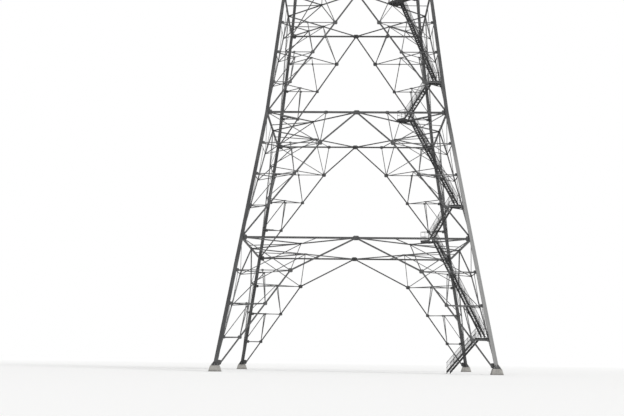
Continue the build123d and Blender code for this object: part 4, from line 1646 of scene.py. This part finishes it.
class MAST_OT_stage(bpy.types.Operator):
    """Pale studio floor, soft light and the camera"""
    bl_idname = "mast.stage"
    bl_label = "Stage"

    def execute(self, context):
        stage = context.scene.mast_stage
        self.floor(context.scene, stage)
        self.light(context.scene, stage)
        self.camera(context.scene, stage)
        return {"FINISHED"}

    def floor(self, scene, stage):
        bm = bmesh.new()
        bmesh.ops.create_grid(bm, x_segments=1, y_segments=1, size=stage.floor / 2)
        mesh = bpy.data.meshes.new("studio_floor")
        bm.to_mesh(mesh)
        bm.free()
        material, tree, shader, where = new_finish("studio_floor")
        distance = combined(tree, "LENGTH", where, kind="VectorMath")
        colours = scene.mast_colours
        shade = mixed(tree, ramp(tree, distance, *FLOOR_FADE), colours.floor, colours.backdrop)
        fed(tree, shader, {"Base Color": shade, "Roughness": 0.9, "Specular IOR Level": 0.1})
        mesh.materials.append(material)
        floor = bpy.data.objects.new("studio_floor", mesh)
        scene.collection.objects.link(floor)

    def light(self, scene, stage):
        """A sun, and a world that is seen as white and lights the mast less."""
        world = bpy.data.worlds.new("studio")
        world.use_nodes = True
        tree = world.node_tree
        tree.nodes.clear()
        rays = add(tree, "LightPath").outputs
        seen = combined(tree, "MAXIMUM", rays["Is Camera Ray"], rays["Is Glossy Ray"])
        choice = add(tree, "MixShader", Fac=seen)
        for socket, strength in zip(choice.inputs[1:], (stage.sky, 1.0)):
            give(tree, socket, add(tree, "Background", Color=WHITE, Strength=strength).outputs[0])
        add(tree, "OutputWorld", Surface=choice.outputs[0])
        scene.world = world
        lamp = bpy.data.lights.new("key", "SUN")
        lamp.energy = stage.sun
        lamp.angle = stage.sun_size
        key = bpy.data.objects.new("key", lamp)
        key.rotation_euler = (stage.sun_slant, 0, stage.sun_side)
        scene.collection.objects.link(key)

    def camera(self, scene, stage):
        data = bpy.data.cameras.new("camera")
        data.lens = stage.lens
        data.sensor_width = stage.film
        data.clip_start = stage.nearest
        data.clip_end = stage.farthest
        camera = bpy.data.objects.new("camera", data)
        level = Matrix.Rotation(stage.yaw, 4, "Z") @ Matrix.Rotation(math.pi / 2 + stage.pitch, 4, "X")
        rolled = level @ Matrix.Rotation(stage.roll, 4, "Z")
        camera.matrix_world = Matrix.Translation(stage.camera_place) @ rolled
        scene.collection.objects.link(camera)
        scene.camera = camera
        scene.view_settings.view_transform = "Standard"


OPERATORS = (
    MAST_OT_footings,
    MAST_OT_base_shoes,
    MAST_OT_legs,
    MAST_OT_face_bracing,
    MAST_OT_corner_bracing,
    MAST_OT_plan_bracing,
    MAST_OT_flights,
    MAST_OT_landings,
    MAST_OT_ladder,
    MAST_OT_platform,
    MAST_OT_pole,
    MAST_OT_stage,
)


class MAST_PT_panel(bpy.types.Panel):
    """Lists the steps that dress the mast"""
    bl_idname = "MAST_PT_panel"
    bl_label = "Lattice radio mast"
    bl_space_type = "VIEW_3D"
    bl_region_type = "UI"
    bl_category = "Mast"

    def draw(self, context):
        for operator in OPERATORS:
            self.layout.operator(operator.bl_idname)


def register():
    for group in PROPERTY_GROUPS.values():
        bpy.utils.register_class(group)
    for name, group in PROPERTY_GROUPS.items():
        setattr(bpy.types.Scene, name, PointerProperty(type=group))
    for operator in OPERATORS:
        bpy.utils.register_class(operator)
    bpy.utils.register_class(MAST_PT_panel)


def unregister():
    bpy.utils.unregister_class(MAST_PT_panel)
    for operator in reversed(OPERATORS):
        bpy.utils.unregister_class(operator)
    for name, group in reversed(PROPERTY_GROUPS.items()):
        delattr(bpy.types.Scene, name)
        bpy.utils.unregister_class(group)


def main():
    register()
    for operator in OPERATORS:
        group, name = operator.bl_idname.split(".")
        getattr(getattr(bpy.ops, group), name)()


if __name__ == "__main__":
    main()
